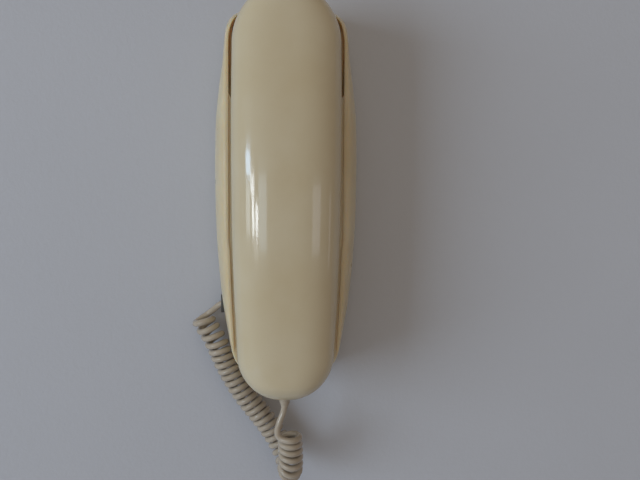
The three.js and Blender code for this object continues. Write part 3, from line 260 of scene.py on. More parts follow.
# The camera, as measured from the photograph: its place, and pitch, yaw and roll in degrees.
CAMERA_PLACE = (-0.0012, -0.4004, 0.0030)
CAMERA_TURN = (4, 2.9, 0.38)
CAMERA_CLIP = (0.01, 100)
SENSOR_MM = 36

# The wall sweeps into a floor. It stands 0.4 mm behind the phone's back.
WALL_Y = 0.0004
WALL_TOP = 1.6
WALL_HALF_WIDTH = 2.0
FLOOR_Z = -1.1
FLOOR_REACH = 2.4
SWEEP_RADIUS = 0.35
SWEEP_STEPS = 12

# The lamps that light: name, place, (width, height), power in watts, colour.
LAMPS = [
    ("key", (-2.55, -1.65, -0.18), (1.9, 1.8), 72, (0.66, 0.80, 0.95)),
    ("front", (0.15, -1.9, 0.3), (1.0, 1.0), 4.0, (1.0, 0.90, 0.78)),
    ("top", (-0.3, -1.3, 2.2), (1.2, 0.8), 5.5, (1.0, 0.97, 0.84)),
    ("rear", (0.2, 1.3, 0.5), (1.4, 1.2), 9.0, (1.0, 1.0, 1.0)),
]
LAMPS_AIM = (0, -0.03, 0)

# What the cover mirrors: (azimuth from, to, elevation from, to, brightness, colour), in degrees
# from the phone's front. They are a window's panes on the left and a pale doorway on the right.
PANES = [
    (-59.0, -46.0, 2.65, 4.2, 14, (0.50, 0.72, 1.0)),
    (-59.0, -46.0, 1.6, 2.45, 14, (0.52, 0.75, 1.0)),
    (-59.0, -47.5, -5.3, 0.6, 3.2, (0.80, 0.92, 1.0)),
    (-29.5, -17.0, -7.0, 1.8, 2.2, (0.62, 0.82, 1.0)),
    (-46.5, -37.5, 0.95, 1.7, 12, (0.84, 0.92, 1.0)),
    (-46.0, -37.5, -0.45, 0.75, 12, (0.84, 0.92, 1.0)),
    (-43.0, -38.0, -5.3, -0.7, 12, (0.84, 0.92, 1.0)),
    (-35.5, -30.5, -5.3, -1.6, 12, (0.84, 0.92, 1.0)),
    (-39.0, -31.0, -8.2, -5.5, 1.5, (0.88, 0.94, 1.0)),
    (28.0, 44.0, -7.4, 0.5, 1.2, (0.80, 0.86, 1.0)),
    (71.5, 77.0, -9.0, -0.6, 0.8, (0.92, 0.93, 1.0)),
]
PANES_AWAY = 1.6
PANES_AIM = (0, -0.058, 0)

# The room's own light, and the plain grey that the camera sees past the wall.
ROOM_COLOUR = (1.0, 0.86, 0.73, 1)
ROOM_STRENGTH = 0.285
BACKGROUND_COLOUR = (0.62, 0.63, 0.65, 1)


# ---------------------------------------------------------------- settings


def colour_setting(name, description, default):
    return bpy.props.FloatVectorProperty(
        name=name, description=description, subtype="COLOR", size=3, min=0, max=1, default=default)


def length_setting(name, description, low, high, default):
    return bpy.props.FloatProperty(
        name=name, description=description, unit="LENGTH", min=low, max=high, default=default)


class TelephoneFinish(bpy.types.PropertyGroup):
    """Colours and gloss of the telephone's surfaces."""

    shell: colour_setting("Handset", "Colour of the handset's outer cover", (0.50, 0.425, 0.29))
    base: colour_setting("Base", "Colour of the base and the handset's inner shell",
                         (0.55, 0.465, 0.315))
    cord: colour_setting("Cord", "Colour of the cord's jacket", (0.37, 0.31, 0.238))
    keys: colour_setting("Keys", "Colour of the keys and the switch knobs", (0.075, 0.07, 0.062))
    gloss: bpy.props.FloatProperty(
        name="Roughness", description="Roughness of the handset's polished cover",
        subtype="FACTOR", min=0, max=1, default=0.085,
    )


class TelephoneCord(bpy.types.PropertyGroup):
    """Sizes of the curly cord."""

    diameter: length_setting("Cord Diameter", "Diameter of the jacket", 0.001, 0.006, 0.0034)
    coil_diameter: length_setting("Coil Diameter", "Outside diameter of the curls",
                                  0.008, 0.03, 0.0134)
    pitch: length_setting("Pitch", "Distance from one curl to the next",
                          0.003, 0.02, COIL_PITCH_MM * MM)


class TelephoneStage(bpy.types.PropertyGroup):
    """The wall behind the phone and the camera's lens."""

    wall: colour_setting("Wall", "Colour of the painted wall and the floor", (0.435, 0.44, 0.468))
    lens: bpy.props.FloatProperty(
        name="Focal Length", description="The camera's focal length, in millimetres",
        subtype="DISTANCE_CAMERA", min=10, max=200, default=40.5,
    )


# ---------------------------------------------------------------- outlines


def place(x, out, z):
    """A point from x, its distance from the wall and z, in millimetres."""
    return Vector((x * MM, -out * MM, z * MM))


def smooth_table(table, t):
    """The value at t of the smooth curve through a table of (place, value)."""
    last = len(table) - 1

    def at(k):
        return table[min(max(k, 0), last)]

    def slope(i):
        (ta, va), (tb, vb) = at(i - 1), at(i + 1)
        return (vb - va) / (tb - ta)

    k = next((i for i, (spot, _) in enumerate(table) if spot >= t), last)
    k = min(max(k, 1), last)
    (t0, v0), (t1, v1) = at(k - 1), at(k)
    u = min(max((t - t0) / (t1 - t0), 0), 1)
    span = t1 - t0
    h = (2 * u - 3) * u * u
    rise = slope(k - 1) * span * u * (1 - u) ** 2 - slope(k) * span * u * u * (1 - u)
    return v0 * (1 + h) - v1 * h + rise


def round_off(distance, length, power=2.0):
    """From 1 down to 0 over a length, as a quarter of a (super)ellipse."""
    t = min(max(distance / length, 0), 1)
    return (1 - t**power) ** (1 / power)


def stations(end, top_round, low_round, middle, end_steps, stop=0.9999):
    """Places along the length that crowd together towards both rounded ends."""
    near = [1 - stop * math.sin(QUARTER * i / end_steps) for i in range(1, end_steps + 1)]
    low, high = -end + low_round, end - top_round
    return [*(-end + low_round * share for share in reversed(near)),
            *(low + (high - low) * i / middle for i in range(middle + 1)),
            *(end - top_round * share for share in near)]


def round_ends(z, end, low, top):
    """The share of the full width that is left at z. Each end has its (length, power)."""
    length, power = top if z > 0 else low
    return round_off(abs(z) - (end - length), length, power)


def handset_side(z):
    """The handset's half width before its ends are rounded."""
    return HANDSET_WIDTH_MM / 2 * smooth_table(HANDSET_TAPER, z / HANDSET_END_MM)


def handset_half_width(z):
    return handset_side(z) * round_ends(z, HANDSET_END_MM, (HANDSET_LOW_ROUND_MM, 2),
                                        (HANDSET_TOP_ROUND_MM, 2))


def cover_rise(z):
    """How far the cover stands out from the parting line."""
    bow = 1 - COVER_BOW * (z / HANDSET_END_MM) ** 2
    corner = (COVER_END_ROUND_MM, 2)
    return COVER_RISE_MM * bow * round_ends(z, HANDSET_END_MM, corner, corner)


def base_half_width(z):
    straight = BASE_WIDTH_MM / 2 * smooth_table(BASE_TAPER, z / BASE_END_MM)
    corner = (CORNER_LENGTH_MM, CORNER_POWER)
    return straight * round_ends(z, BASE_END_MM, corner, corner)


def cradle_half_width(z):
    """Half the distance between the crest's inner edges."""
    beside = HANDSET_WIDTH_MM / 2 + CRADLE_GAP_MM
    if z <= CRADLE_NARROWS_MM:
        beside = min(beside, handset_side(z) + CRADLE_GAP_MM)
    return beside * round_ends(z, BASE_END_MM - RIM_MM, (CRADLE_LOW_ROUND_MM, CRADLE_LOW_POWER),
                               (CRADLE_TOP_ROUND_MM, CRADLE_TOP_POWER))


def channel_half_width(z):
    """Half the width of the channel below the groove's ledge."""
    return min(cradle_half_width(z), handset_half_width(z) + SIDE_GAP_MM)


def crest_out(z):
    past = max(abs(z) / BASE_END_MM - END_DROP_FROM, 0) / END_DROP_SPAN
    return CREST_OUT_MM - END_DROP_MM * past**2


def rounded_outline(x0, x1, z0, z1, radius, steps=8):
    """A rectangle's outline with rounded corners."""
    points = []
    corners = [(x1 - radius, z0 + radius, -90), (x1 - radius, z1 - radius, 0),
               (x0 + radius, z1 - radius, 90), (x0 + radius, z0 + radius, 180)]
    for cx, cz, start in corners:
        for i in range(steps + 1):
            angle = math.radians(start + 90 * i / steps)
            points.append((cx + radius * math.cos(angle), cz + radius * math.sin(angle)))
    return points


# ---------------------------------------------------------------- meshes


def new_object(name, data):
    obj = bpy.data.objects.new(name, data)
    bpy.context.scene.collection.objects.link(obj)
    return obj


def dress(obj, material):
    obj.data.materials.clear()
    obj.data.materials.append(material)
    return obj


def shade(mesh, smooth_angle=35):
    """Smooth shading up to an angle between faces, in degrees."""
    mesh.polygons.foreach_set("use_smooth", [True] * len(mesh.polygons))
    mesh.set_sharp_from_angle(angle=math.radians(smooth_angle))


def mesh_from(bm, name):
    mesh = bpy.data.meshes.new(name)
    bm.to_mesh(mesh)
    bm.free()
    return mesh


def finish_mesh(bm, name="tool", smooth_angle=35):
    """Turns a bmesh into an object with outward faces, smooth up to the given angle."""
    bmesh.ops.recalc_face_normals(bm, faces=bm.faces)
    mesh = mesh_from(bm, name)
    shade(mesh, smooth_angle)
    return new_object(name, mesh)


def loft(rings, closed=True):
    """A bmesh through rings of points. Closed, its rings join up and a fan closes each end."""
    bm = bmesh.new()
    rows = [[bm.verts.new(point) for point in ring] for ring in rings]
    count = len(rows[0])
    for low, high in zip(rows, rows[1:]):
        for i in range(count if closed else count - 1):
            j = (i + 1) % count
            bm.faces.new((low[i], low[j], high[j], high[i]))
    if closed:
        for row in (rows[0], rows[-1]):
            middle = bm.verts.new(sum((v.co for v in row), Vector()) / count)
            for i in range(count):
                bm.faces.new((row[i], row[(i + 1) % count], middle))
    return bm


def circle(sides):
    """The angles of a ring's points."""
    return [2 * math.pi * k / sides for k in range(sides)]


def slab(outline, out0, out1):
    """A prism over an outline of (x, z) points, between two distances from the wall."""
    return finish_mesh(loft([[place(x, out, z) for x, z in outline] for out in (out0, out1)]))


def evaluated_mesh(obj):
    depsgraph = bpy.context.evaluated_depsgraph_get()
    return bpy.data.meshes.new_from_object(obj.evaluated_get(depsgraph))


def apply_modifier(obj, kind, inputs=None, **values):
    """Adds a modifier, keeps its result as the object's mesh, and removes it."""
    modifier = obj.modifiers.new("Finish", kind)
    for key, value in values.items():
        setattr(modifier, key, value)
    for key, value in (inputs or {}).items():
        modifier[key] = value
    mesh, old = evaluated_mesh(obj), obj.data
    obj.modifiers.remove(modifier)
    obj.data = mesh
    bpy.data.meshes.remove(old)
    mesh.name = obj.name
    return obj


def combine(body, tool, operation="DIFFERENCE"):
    """Applies one exact boolean and removes the tool."""
    apply_modifier(body, "BOOLEAN", operation=operation, solver="EXACT", object=tool)
    bpy.data.objects.remove(tool)


def weld(obj, smooth_angle):
    """Joins the points that booleans leave side by side, and shades the result."""
    bm = bmesh.new()
    bm.from_mesh(obj.data)
    bmesh.ops.remove_doubles(bm, verts=bm.verts, dist=WELD)
    bm.to_mesh(obj.data)
    bm.free()
    shade(obj.data, smooth_angle)


def smooth_copy(node_name, name, smooth_angle=32):
    """A copy of a CAD node with its triangles joined, so that it can be shaded smoothly."""
    bm = bmesh.new()
    bm.from_mesh(NODES[node_name].data)
    bmesh.ops.remove_doubles(bm, verts=bm.verts, dist=JOIN)
    bmesh.ops.dissolve_limit(bm, angle_limit=math.radians(0.5), verts=bm.verts, edges=bm.edges)
    mesh = mesh_from(bm, name)
    shade(mesh, smooth_angle)
    return apply_modifier(new_object(name, mesh), "WEIGHTED_NORMAL", keep_sharp=True)


# ---------------------------------------------------------------- node trees


class Graph:
    """A node tree, with short ways to add what is used often. Inputs take sockets or values."""

    def __init__(self, tree):
        self.tree = tree

    def plug(self, socket, value):
        if isinstance(value, bpy.types.NodeSocket):
            self.tree.links.new(value, socket)
        else:
            socket.default_value = value

    def set(self, made, inputs):
        for key, value in inputs.items():
            self.plug(made.inputs[key], value)

    def add(self, kind, inputs=None, **attributes):
        made = self.tree.nodes.new(kind)
        for key, value in attributes.items():
            setattr(made, key, value)
        self.set(made, inputs or {})
        return made

    def fill(self, kind, values, **attributes):
        """Adds a node whose inputs take the values in order, and gives its first output."""
        made = self.add(kind, **attributes)
        for socket, value in zip(made.inputs, values):
            if value is not None:
                self.plug(socket, value)
        return made.outputs[0]

    def math(self, operation, a, b, clamp=False):
        return self.fill("ShaderNodeMath", (a, b), operation=operation, use_clamp=clamp)

    def times(self, a, b):
        return self.math("MULTIPLY", a, b)

    def plus(self, a, b, clamp=False):
        return self.math("ADD", a, b, clamp)

    def vector(self, x=None, y=None, z=None):
        return self.fill("ShaderNodeCombineXYZ", (x, y, z))

    def ramp(self, value, low, high, to_low=0.0, to_high=1.0):
        return self.add("ShaderNodeMapRange", {
            "Value": value, "From Min": low, "From Max": high, "To Min": to_low,
            "To Max": to_high}).outputs["Result"]

    def mix(self, factor, a, b):
        """A mix of two colours, each of them a socket or (red, green, blue)."""
        made = self.add("ShaderNodeMix", data_type="RGBA")
        a, b = (c if isinstance(c, bpy.types.NodeSocket) else (*c, 1) for c in (a, b))
        self.set(made, {"Factor": factor, "A": a, "B": b})
        return made.outputs["Result"]

    def noise(self, where, scale, detail=2.0, roughness=0.5):
        return self.add("ShaderNodeTexNoise", {
            "Vector": where, "Scale": scale, "Detail": detail,
            "Roughness": roughness}).outputs["Fac"]

    def mapped(self, where, **inputs):
        """Coordinates after a turn or a stretch."""
        return self.add("ShaderNodeMapping", {"Vector": where, **inputs}).outputs["Vector"]

    def send_mix(self, end, factor, first, second):
        """Sends a mix of two shaders to the tree's output."""
        mixed = self.add("ShaderNodeMixShader", {"Fac": factor, 1: first, 2: second})
        self.plug(self.tree.nodes[end].inputs["Surface"], mixed.outputs["Shader"])


class Group(Graph):
    """A new node group with its two ends, and sockets from (type, name, default)."""

    def __init__(self, kind, name, inputs, outputs):
        super().__init__(bpy.data.node_groups.new(name, kind))
        for direction, sockets in (("INPUT", inputs), ("OUTPUT", outputs)):
            for socket_type, label, default in sockets:
                socket = self.tree.interface.new_socket(
                    label, in_out=direction, socket_type=f"NodeSocket{socket_type}")
                if default is not None:
                    socket.default_value = default
        self.given = self.add("NodeGroupInput").outputs
        self.end = self.add("NodeGroupOutput")


class Surface(Graph):
    """A new material's tree, with its surface shader and the coordinates on the object."""

    def __init__(self, name):
        self.material = bpy.data.materials.new(name)
        self.material.use_nodes = True
        super().__init__(self.material.node_tree)
        self.shader = self.tree.nodes["Principled BSDF"]
        self.where = self.add("ShaderNodeTexCoord").outputs["Object"]

    def relief(self, height, distance, **inputs):
        """Bumps the surface. The distance is the height, in metres, that 1 stands for."""
        bump = self.add("ShaderNodeBump", {"Height": height, "Distance": distance, **inputs})
        self.plug(self.shader.inputs["Normal"], bump.outputs["Normal"])

    def shared(self, name, inputs):
        """The outputs of a shared shader group."""
        return self.add("ShaderNodeGroup", {"Coordinates": self.where, **inputs},
                        node_tree=bpy.data.node_groups[name]).outputs

    def cloudy(self, scale, colour, share):
        """A colour that is darker in places, by the share."""
        cloud = self.ramp(self.noise(self.where, scale), 0.3, 0.7)
        return self.mix(cloud, colour, tinted(colour, (share,) * 3))

    def finish(self, inputs):
        self.set(self.shader, inputs)
        return self.material


# ---------------------------------------------------------------- materials


def aged_plastic_group():
    """Colour, roughness and height of old plastic: mottling, yellowing, grain, scratches."""
    g = Group("ShaderNodeTree", "Aged Plastic",
              [("Vector", "Coordinates", None), ("Color", "Colour", (0.5, 0.45, 0.3, 1)),
               ("Color", "Yellowed", (0.4, 0.3, 0.15, 1)), ("Float", "Yellowing", 0.3),
               ("Float", "Roughness", 0.2), ("Float", "Scratches", 0.5), ("Float", "Grain", 0.3)],
              [("Color", "Colour", None), ("Float", "Roughness", None), ("Float", "Height", None)])
    where = g.given["Coordinates"]
    cloud = g.ramp(g.noise(where, 28.0, 3.0, 0.55), 0.35, 0.7)
    yellowing = g.times(cloud, g.given["Yellowing"])
    mottled = g.mix(yellowing, g.given["Colour"], g.given["Yellowed"])
    dust = g.ramp(g.noise(where, 2600.0, 1.0), 0.68, 0.8, 0.0, 0.16)
    # Fine scratches run in three directions and come in patches.
    lines = []
    for turn, stretch, scale in SCRATCHES:
        turned = g.mapped(where, Rotation=(0, turn, 0), Scale=(stretch, 1, 1.6))
        lines.append(g.ramp(g.noise(turned, scale, 1.0), 0.735, 0.775))
    scratched = g.plus(g.plus(lines[0], lines[1]), lines[2], clamp=True)
    scratched = g.times(scratched, g.ramp(g.noise(where, 46.0), 0.5, 0.62))
    scratched = g.times(scratched, g.given["Scratches"])
    uneven = g.ramp(g.noise(where, 75.0, 4.0, 0.65), 0.3, 0.75, -0.03, 0.07)
    rough = g.plus(g.given["Roughness"], uneven)
    grain = g.times(g.noise(where, 3400.0, 1.0), g.given["Grain"])
    g.set(g.end, {
        "Colour": g.mix(dust, mottled, DUST_COLOUR),
        "Roughness": g.plus(rough, g.times(scratched, 0.25), clamp=True),
        "Height": g.math("SUBTRACT", grain, scratched)})


def plated_metal_group():
    """Roughness and height of plated steel with fine wiping marks."""
    g = Group("ShaderNodeTree", "Plated Metal",
              [("Vector", "Coordinates", None), ("Float", "Roughness", 0.3)],
              [("Float", "Roughness", None), ("Float", "Height", None)])
    wiped = g.noise(g.mapped(g.given["Coordinates"], Scale=(1, 1, 40)), 300.0, 3.0)
    uneven = g.ramp(wiped, 0.3, 0.7, -0.06, 0.1)
    rough = g.plus(g.given["Roughness"], uneven, clamp=True)
    g.set(g.end, {"Roughness": rough, "Height": wiped})


def make_groups():
    """Makes the shared shader groups, unless an operator has made them before."""
    if "Aged Plastic" not in bpy.data.node_groups:
        aged_plastic_group()
        plated_metal_group()


def tinted(colour, shares):
    return [c * share for c, share in zip(colour, shares)]


def browned(g, tone, colour, strength):
    """A tone with painted shade in narrow places, darker in blue and lighter in red as a painted
    warm glow, away from the wall and mostly below the crest.
    """
    # Painted shade: ambient occlusion picks out the narrow places.
    closed = g.add("ShaderNodeAmbientOcclusion", {"Distance": CREVICE_REACH}, samples=6)
    y = g.add("ShaderNodeSeparateXYZ", {"Vector": g.where}).outputs["Y"]
    share = g.ramp(closed.outputs["AO"], *CREVICE_OPENNESS, strength, 0.0)
    for fade in CREVICE_FADES:
        share = g.times(share, g.ramp(y, *fade))
    return g.mix(share, tone, tinted(colour, CREVICE_SHADE_TINT))


def plastic_material(name, colour, roughness, yellowing, scratches, grain, coat=0.0,
                     edge_radius=0.0, crevice_shade=0.0, glow=0.0):
    """Moulded plastic from the shared group. edge_radius rounds hard edges in the shading, and the
    crevice setting paints shade into the narrow places, tinted warm as painted light that has
    bounced about. glow lets light through thin walls."""
    g = Surface(name)
    aged = g.shared("Aged Plastic", {
        "Colour": (*colour, 1), "Yellowed": (*tinted(colour, YELLOWED_TINT), 1),
        "Yellowing": yellowing, "Roughness": roughness, "Scratches": scratches, "Grain": grain})
    tone = aged["Colour"]
    # Paints shade and a warm glow into the crevices.
    if crevice_shade:
        tone = browned(g, tone, colour, crevice_shade)
    edges = {}
    if edge_radius:
        rounded = g.add("ShaderNodeBevel", {"Radius": edge_radius}, samples=4)
        edges = {"Normal": rounded.outputs["Normal"]}
    g.relief(aged["Height"], PLASTIC_RELIEF, **edges)
    return g.finish({
        "Base Color": tone, "Roughness": aged["Roughness"], "Subsurface Weight": glow,
        "Subsurface Radius": GLOW_RADIUS, "Subsurface Scale": GLOW_SCALE,
        "Coat Weight": coat, "Coat Roughness": 0.03})


def metal_material(name, colour, roughness):
    """Plated metal from the shared group."""
    g = Surface(name)
    plated = g.shared("Plated Metal", {"Roughness": roughness})
    g.relief(plated["Height"], METAL_RELIEF)
    return g.finish({"Base Color": g.cloudy(500.0, colour, 0.82),
                     "Roughness": plated["Roughness"], "Metallic": 1.0})


def board_material():
    """Green solder mask with copper tracks showing through."""
    g = Surface("Circuit Board")
    tracks = g.add("ShaderNodeTexBrick", {
        "Vector": g.mapped(g.where, Rotation=(QUARTER, 0, 0)), "Scale": 170.0,
        "Mortar Size": 0.06, "Color1": (0.012, 0.13, 0.045, 1), "Color2": (0.014, 0.17, 0.06, 1),
        "Mortar": (0.03, 0.24, 0.08, 1)}).outputs
    g.relief(tracks["Fac"], TRACK_RELIEF)
    gloss = g.ramp(g.noise(g.where, 300.0), 0.3, 0.7, 0.25, 0.4)
    return g.finish({"Base Color": tracks["Color"], "Roughness": gloss})


def print_material():
    """Pale print that has worn thin in places."""
    g = Surface("Key Print")
    wear = g.noise(g.where, 900.0, 3.0)
    tone = g.mix(g.ramp(wear, 0.55, 0.75), (0.72, 0.70, 0.62), (0.42, 0.40, 0.35))
    return g.finish({"Base Color": tone, "Roughness": g.ramp(wear, 0.3, 0.7, 0.4, 0.6)})


def cord_material(colour):
    """Vinyl jacket with fine extrusion lines, a thin gloss and a little grime."""
    g = Surface("Cord Jacket")
    uv = g.add("ShaderNodeTexCoord").outputs["UV"]
    g.relief(g.noise(g.mapped(uv, Scale=(6, 40, 1)), 4.0), JACKET_RELIEF)
    grime = g.noise(g.where, 140.0, 4.0, 0.6)
    dirty = g.ramp(grime, 0.45, 0.75, 0.0, 0.55)
    return g.finish({
        "Base Color": g.mix(dirty, colour, tinted(colour, GRIME_TINT)),
        "Roughness": g.ramp(grime, 0.3, 0.7, 0.13, 0.26), "Subsurface Weight": 0.04,
        "Subsurface Radius": (0.002, 0.002, 0.002), "Coat Weight": 0.7, "Coat Roughness": 0.09})


def wall_material(colour):
    """Painted wall. It is see-through from behind, so the back of the phone can be looked at."""
    g = Surface("Painted Wall")
    g.relief(g.noise(g.where, 420.0, 3.0), PAINT_RELIEF)
    behind = g.add("ShaderNodeNewGeometry").outputs["Backfacing"]
    shadow = g.add("ShaderNodeLightPath").outputs["Is Shadow Ray"]
    clear = g.add("ShaderNodeBsdfTransparent").outputs["BSDF"]
    g.send_mix("Material Output", g.math("MAXIMUM", behind, shadow), g.shader.outputs["BSDF"],
               clear)
    return g.finish({"Base Color": g.cloudy(5.0, colour, 0.96), "Roughness": 0.7,
                     "Specular IOR Level": 0.2})


# ---------------------------------------------------------------- camera and stage


def aim_camera(lens):
    """Puts the camera where the photographer stood."""
    pitch, yaw, roll = (math.radians(angle) for angle in CAMERA_TURN)
    forward = Vector((math.sin(yaw) * math.cos(pitch), math.cos(yaw) * math.cos(pitch),
                      -math.sin(pitch)))
    level = Vector((math.cos(yaw), -math.sin(yaw), 0))
    upright = level.cross(forward)
    right = level * math.cos(roll) + upright * math.sin(roll)
    up = -level * math.sin(roll) + upright * math.cos(roll)
    data = bpy.data.cameras.new("Camera")
    data.sensor_width = SENSOR_MM
    data.lens = lens
    data.clip_start, data.clip_end = CAMERA_CLIP
    camera = new_object("Camera", data)
    turn = Matrix((right, up, -forward)).transposed().to_4x4()
    camera.matrix_world = Matrix.Translation(CAMERA_PLACE) @ turn
    bpy.context.scene.camera = camera


def backdrop(colour):
    """A wall that sweeps into a floor well below the phone."""
    profile = [(WALL_Y, WALL_TOP), (WALL_Y, FLOOR_Z + SWEEP_RADIUS)]
    for i in range(1, SWEEP_STEPS + 1):
        angle = QUARTER * i / SWEEP_STEPS
        profile.append((WALL_Y - SWEEP_RADIUS * (1 - math.cos(angle)),
                        FLOOR_Z + SWEEP_RADIUS * (1 - math.sin(angle))))
    profile.append((-FLOOR_REACH, FLOOR_Z))
    bm = bmesh.new()
    rows = [[bm.verts.new((x, y, z)) for x in (-WALL_HALF_WIDTH, WALL_HALF_WIDTH)]
            for y, z in profile]
    for low, high in zip(rows, rows[1:]):
        bm.faces.new((low[0], high[0], high[1], low[1]))
    for face in bm.faces:
        face.normal_update()
        if face.normal.y > 0.01 or face.normal.z < -0.01:
            face.normal_flip()
    mesh = mesh_from(bm, "backdrop")
    mesh.polygons.foreach_set("use_smooth", [True] * len(mesh.polygons))
    dress(new_object("backdrop", mesh), wall_material(colour))


def soft_light(name, location, size, power, colour, target, mirrored=False):
    """An area lamp. mirrored lamps only show in reflections, and the others only light."""
    data = bpy.data.lights.new(name, "AREA")
    data.shape = "RECTANGLE"
    data.size, data.size_y = size
    data.energy = power
    data.color = colour
    light = new_object(name, data)
    light.location = location
    aim = Vector(target) - Vector(location)
    light.rotation_euler = aim.to_track_quat("-Z", "Y").to_euler()
    light.visible_camera = False
    light.visible_glossy = mirrored
    light.visible_diffuse = not mirrored


def studio_lights():
    for lamp in LAMPS:
        soft_light(*lamp, LAMPS_AIM)
    aim = Vector(PANES_AIM)
    for i, (az0, az1, el0, el1, bright, colour) in enumerate(PANES):
        az, el = math.radians((az0 + az1) / 2), math.radians((el0 + el1) / 2)
        wide, tall = (2 * PANES_AWAY * math.tan(math.radians((high - low) / 2))
                      for low, high in ((az0, az1), (el0, el1)))
        towards = Vector((math.sin(az) * math.cos(el), -math.cos(az) * math.cos(el), math.sin(el)))
        soft_light(f"pane_{i + 1}", towards * PANES_AWAY + aim, (wide, tall),
                   bright * wide * tall * math.pi, colour, aim, mirrored=True)


def studio_world():
    """The room's own light, and a plain grey where the camera sees past the wall."""
    world = bpy.data.worlds.new("Studio")
    bpy.context.scene.world = world
    world.use_nodes = True
    g = Graph(world.node_tree)
    room = g.tree.nodes["Background"]
    g.set(room, {"Color": ROOM_COLOUR, "Strength": ROOM_STRENGTH})
    seen = g.add("ShaderNodeBackground", {"Color": BACKGROUND_COLOUR, "Strength": 1.0})
    is_camera = g.add("ShaderNodeLightPath").outputs["Is Camera Ray"]
    g.send_mix("World Output", is_camera, room.outputs[0], seen.outputs[0])


# ---------------------------------------------------------------- cord


def unit(vectors):
    """A vector, or each row of them, at length 1."""
    return vectors / np.linalg.norm(vectors, axis=-1, keepdims=True)


def square_to(tangent, vector):
    """The part of a vector that is at right angles to a tangent, at length 1."""
    return unit(vector - vector.dot(tangent) * tangent)


def distances_along(points):
    steps = np.linalg.norm(np.diff(points, axis=0), axis=1)
    return np.concatenate([[0], np.cumsum(steps)])


def evenly(points, count):
    """The same curve with count + 1 points at equal distances along it."""
    along = distances_along(points)
    wanted = np.linspace(0, along[-1], count + 1)
    return np.stack([np.interp(wanted, along, points[:, k]) for k in range(3)], axis=1)


def through_points(points, per_span=24):
    """A centripetal Catmull-Rom curve through points, as closely spaced points."""
    control = [np.array(p, float) for p in points]
    control = [2 * control[0] - control[1], *control, 2 * control[-1] - control[-2]]

    def between(at, ta, a, tb, b):
        return (tb - at) / (tb - ta) * a + (at - ta) / (tb - ta) * b

    curve = []
    for p in zip(control, control[1:], control[2:], control[3:]):
        t = [0.0]
        for a, b in zip(p, p[1:]):
            t.append(t[-1] + np.linalg.norm(b - a) ** 0.5)
        for i in range(per_span):
            at = t[1] + (t[2] - t[1]) * i / per_span
            q = [between(at, t[k], p[k], t[k + 1], p[k + 1]) for k in range(3)]
            r = [between(at, t[k], q[k], t[k + 2], q[k + 1]) for k in range(2)]
            curve.append(between(at, t[1], r[0], t[2], r[1]))
    curve.append(control[-2])
    return np.array(curve)


def hanging(route):
    """A route's points, from (x, out, below the jack)."""
    return [np.array(place(x, out, JACK_Z_MM - below)) for x, out, below in route]


def coil_points(pitch, radius):
    """The helix round the coil's route. A turn takes more of it in a bend and where it is loose."""
    curve = through_points(hanging(COIL_ROUTE))
    step = distances_along(curve)[-1] / ROUTE_STEPS
    places = evenly(curve, ROUTE_STEPS)
    index = np.arange(ROUTE_STEPS + 1)

    def around(reach):
        return np.maximum(index - reach, 0), np.minimum(index + reach, ROUTE_STEPS)

    behind, ahead = around(1)
    tangents = unit(places[ahead] - places[behind])
    behind, ahead = around(round(BEND_REACH_MM * MM / step))
    cosine = (tangents[behind] * tangents[ahead]).sum(axis=1)
    bend = np.arccos(np.clip(cosine, -1, 1)) / ((ahead - behind) * step)
    from_loose = (index * step / MM - COIL_LOOSE_AT_MM) / COIL_LOOSE_SPAN_MM
    room = 1 - COIL_LOOSE * np.exp(-(from_loose**2)) - radius * bend
    wound = np.concatenate([[0], np.cumsum(room[1:])])
    turns = math.floor(wound[-1] * step / pitch) + COIL_LAST_TURN
    side = np.array(COIL_SIDE)
    sides = []
    for tangent in tangents:
        side = square_to(tangent, side)
        sides.append(side)
    count = round(turns * COIL_STEPS)
    points = []
    for k in range(count + 1):
        i = min(int(np.searchsorted(wound, wound[-1] * k / count)), ROUTE_STEPS)
        angle = 2 * math.pi * turns * k / count
        front = np.cross(tangents[i], sides[i])
        points.append(places[i] + radius * (front * math.cos(angle) + sides[i] * math.sin(angle)))
    return np.array(points)


def cord_path(settings):
    """The whole cord's middle line, from the plug to the strain relief, and its length."""
    coil = coil_points(settings.pitch, (settings.coil_diameter - CORD_DIAMETER_MM * MM) / 2)
    before = coil[0] + unit(coil[0] - coil[1]) * COIL_START_LEAD_MM * MM
    after = coil[-1] + unit(coil[-1] - coil[-2]) * COIL_END_LEAD_MM * MM
    route = [*hanging(LEAD_BASE_ROUTE), before, *coil[::2], after, *hanging(LEAD_HANDSET_ROUTE)]
    curve = through_points(route, per_span=8)
    points = evenly(curve, round(distances_along(curve)[-1] / (CORD_STEP_MM * MM)))
    for _ in range(CORD_SMOOTHINGS):
        points[1:-1] = 0.5 * points[1:-1] + 0.25 * (points[:-2] + points[2:])
    return points, float(distances_along(points)[-1])


def tube(name, points, radius, sides):
    """A tube along points, whose UV map runs round it and along it in metres."""
    tangents = unit(np.gradient(points, axis=0))
    normal = np.cross([0, 0, 1.0], tangents[0])
    rings = []
    for point, tangent in zip(points, tangents):
        normal = square_to(tangent, normal)
        across = np.cross(tangent, normal)
        rings.append([Vector(point + radius * (normal * math.cos(a) + across * math.sin(a)))
                      for a in circle(sides)])
    bm = loft(rings)
    along = distances_along(points)
    layer = bm.loops.layers.uv.new("UVMap")
    bm.verts.index_update()
    for face in bm.faces:
        ids = [loop.vert.index for loop in face.loops]
        if max(ids) >= len(points) * sides:
            continue
        columns = [i % sides for i in ids]
        wrap = max(columns) - min(columns) > 1
        for loop, i, column in zip(face.loops, ids, columns):
            turn = (column + sides if wrap and column == 0 else column) / sides
            loop[layer].uv = (turn, along[i // sides])
    return finish_mesh(bm, name, smooth_angle=60)


# ---------------------------------------------------------------- handset and base


def mirrored(right):
    """An outline's right half and the same on the left, in order round it."""
    return right + [(-x, other) for x, other in right][::-1]


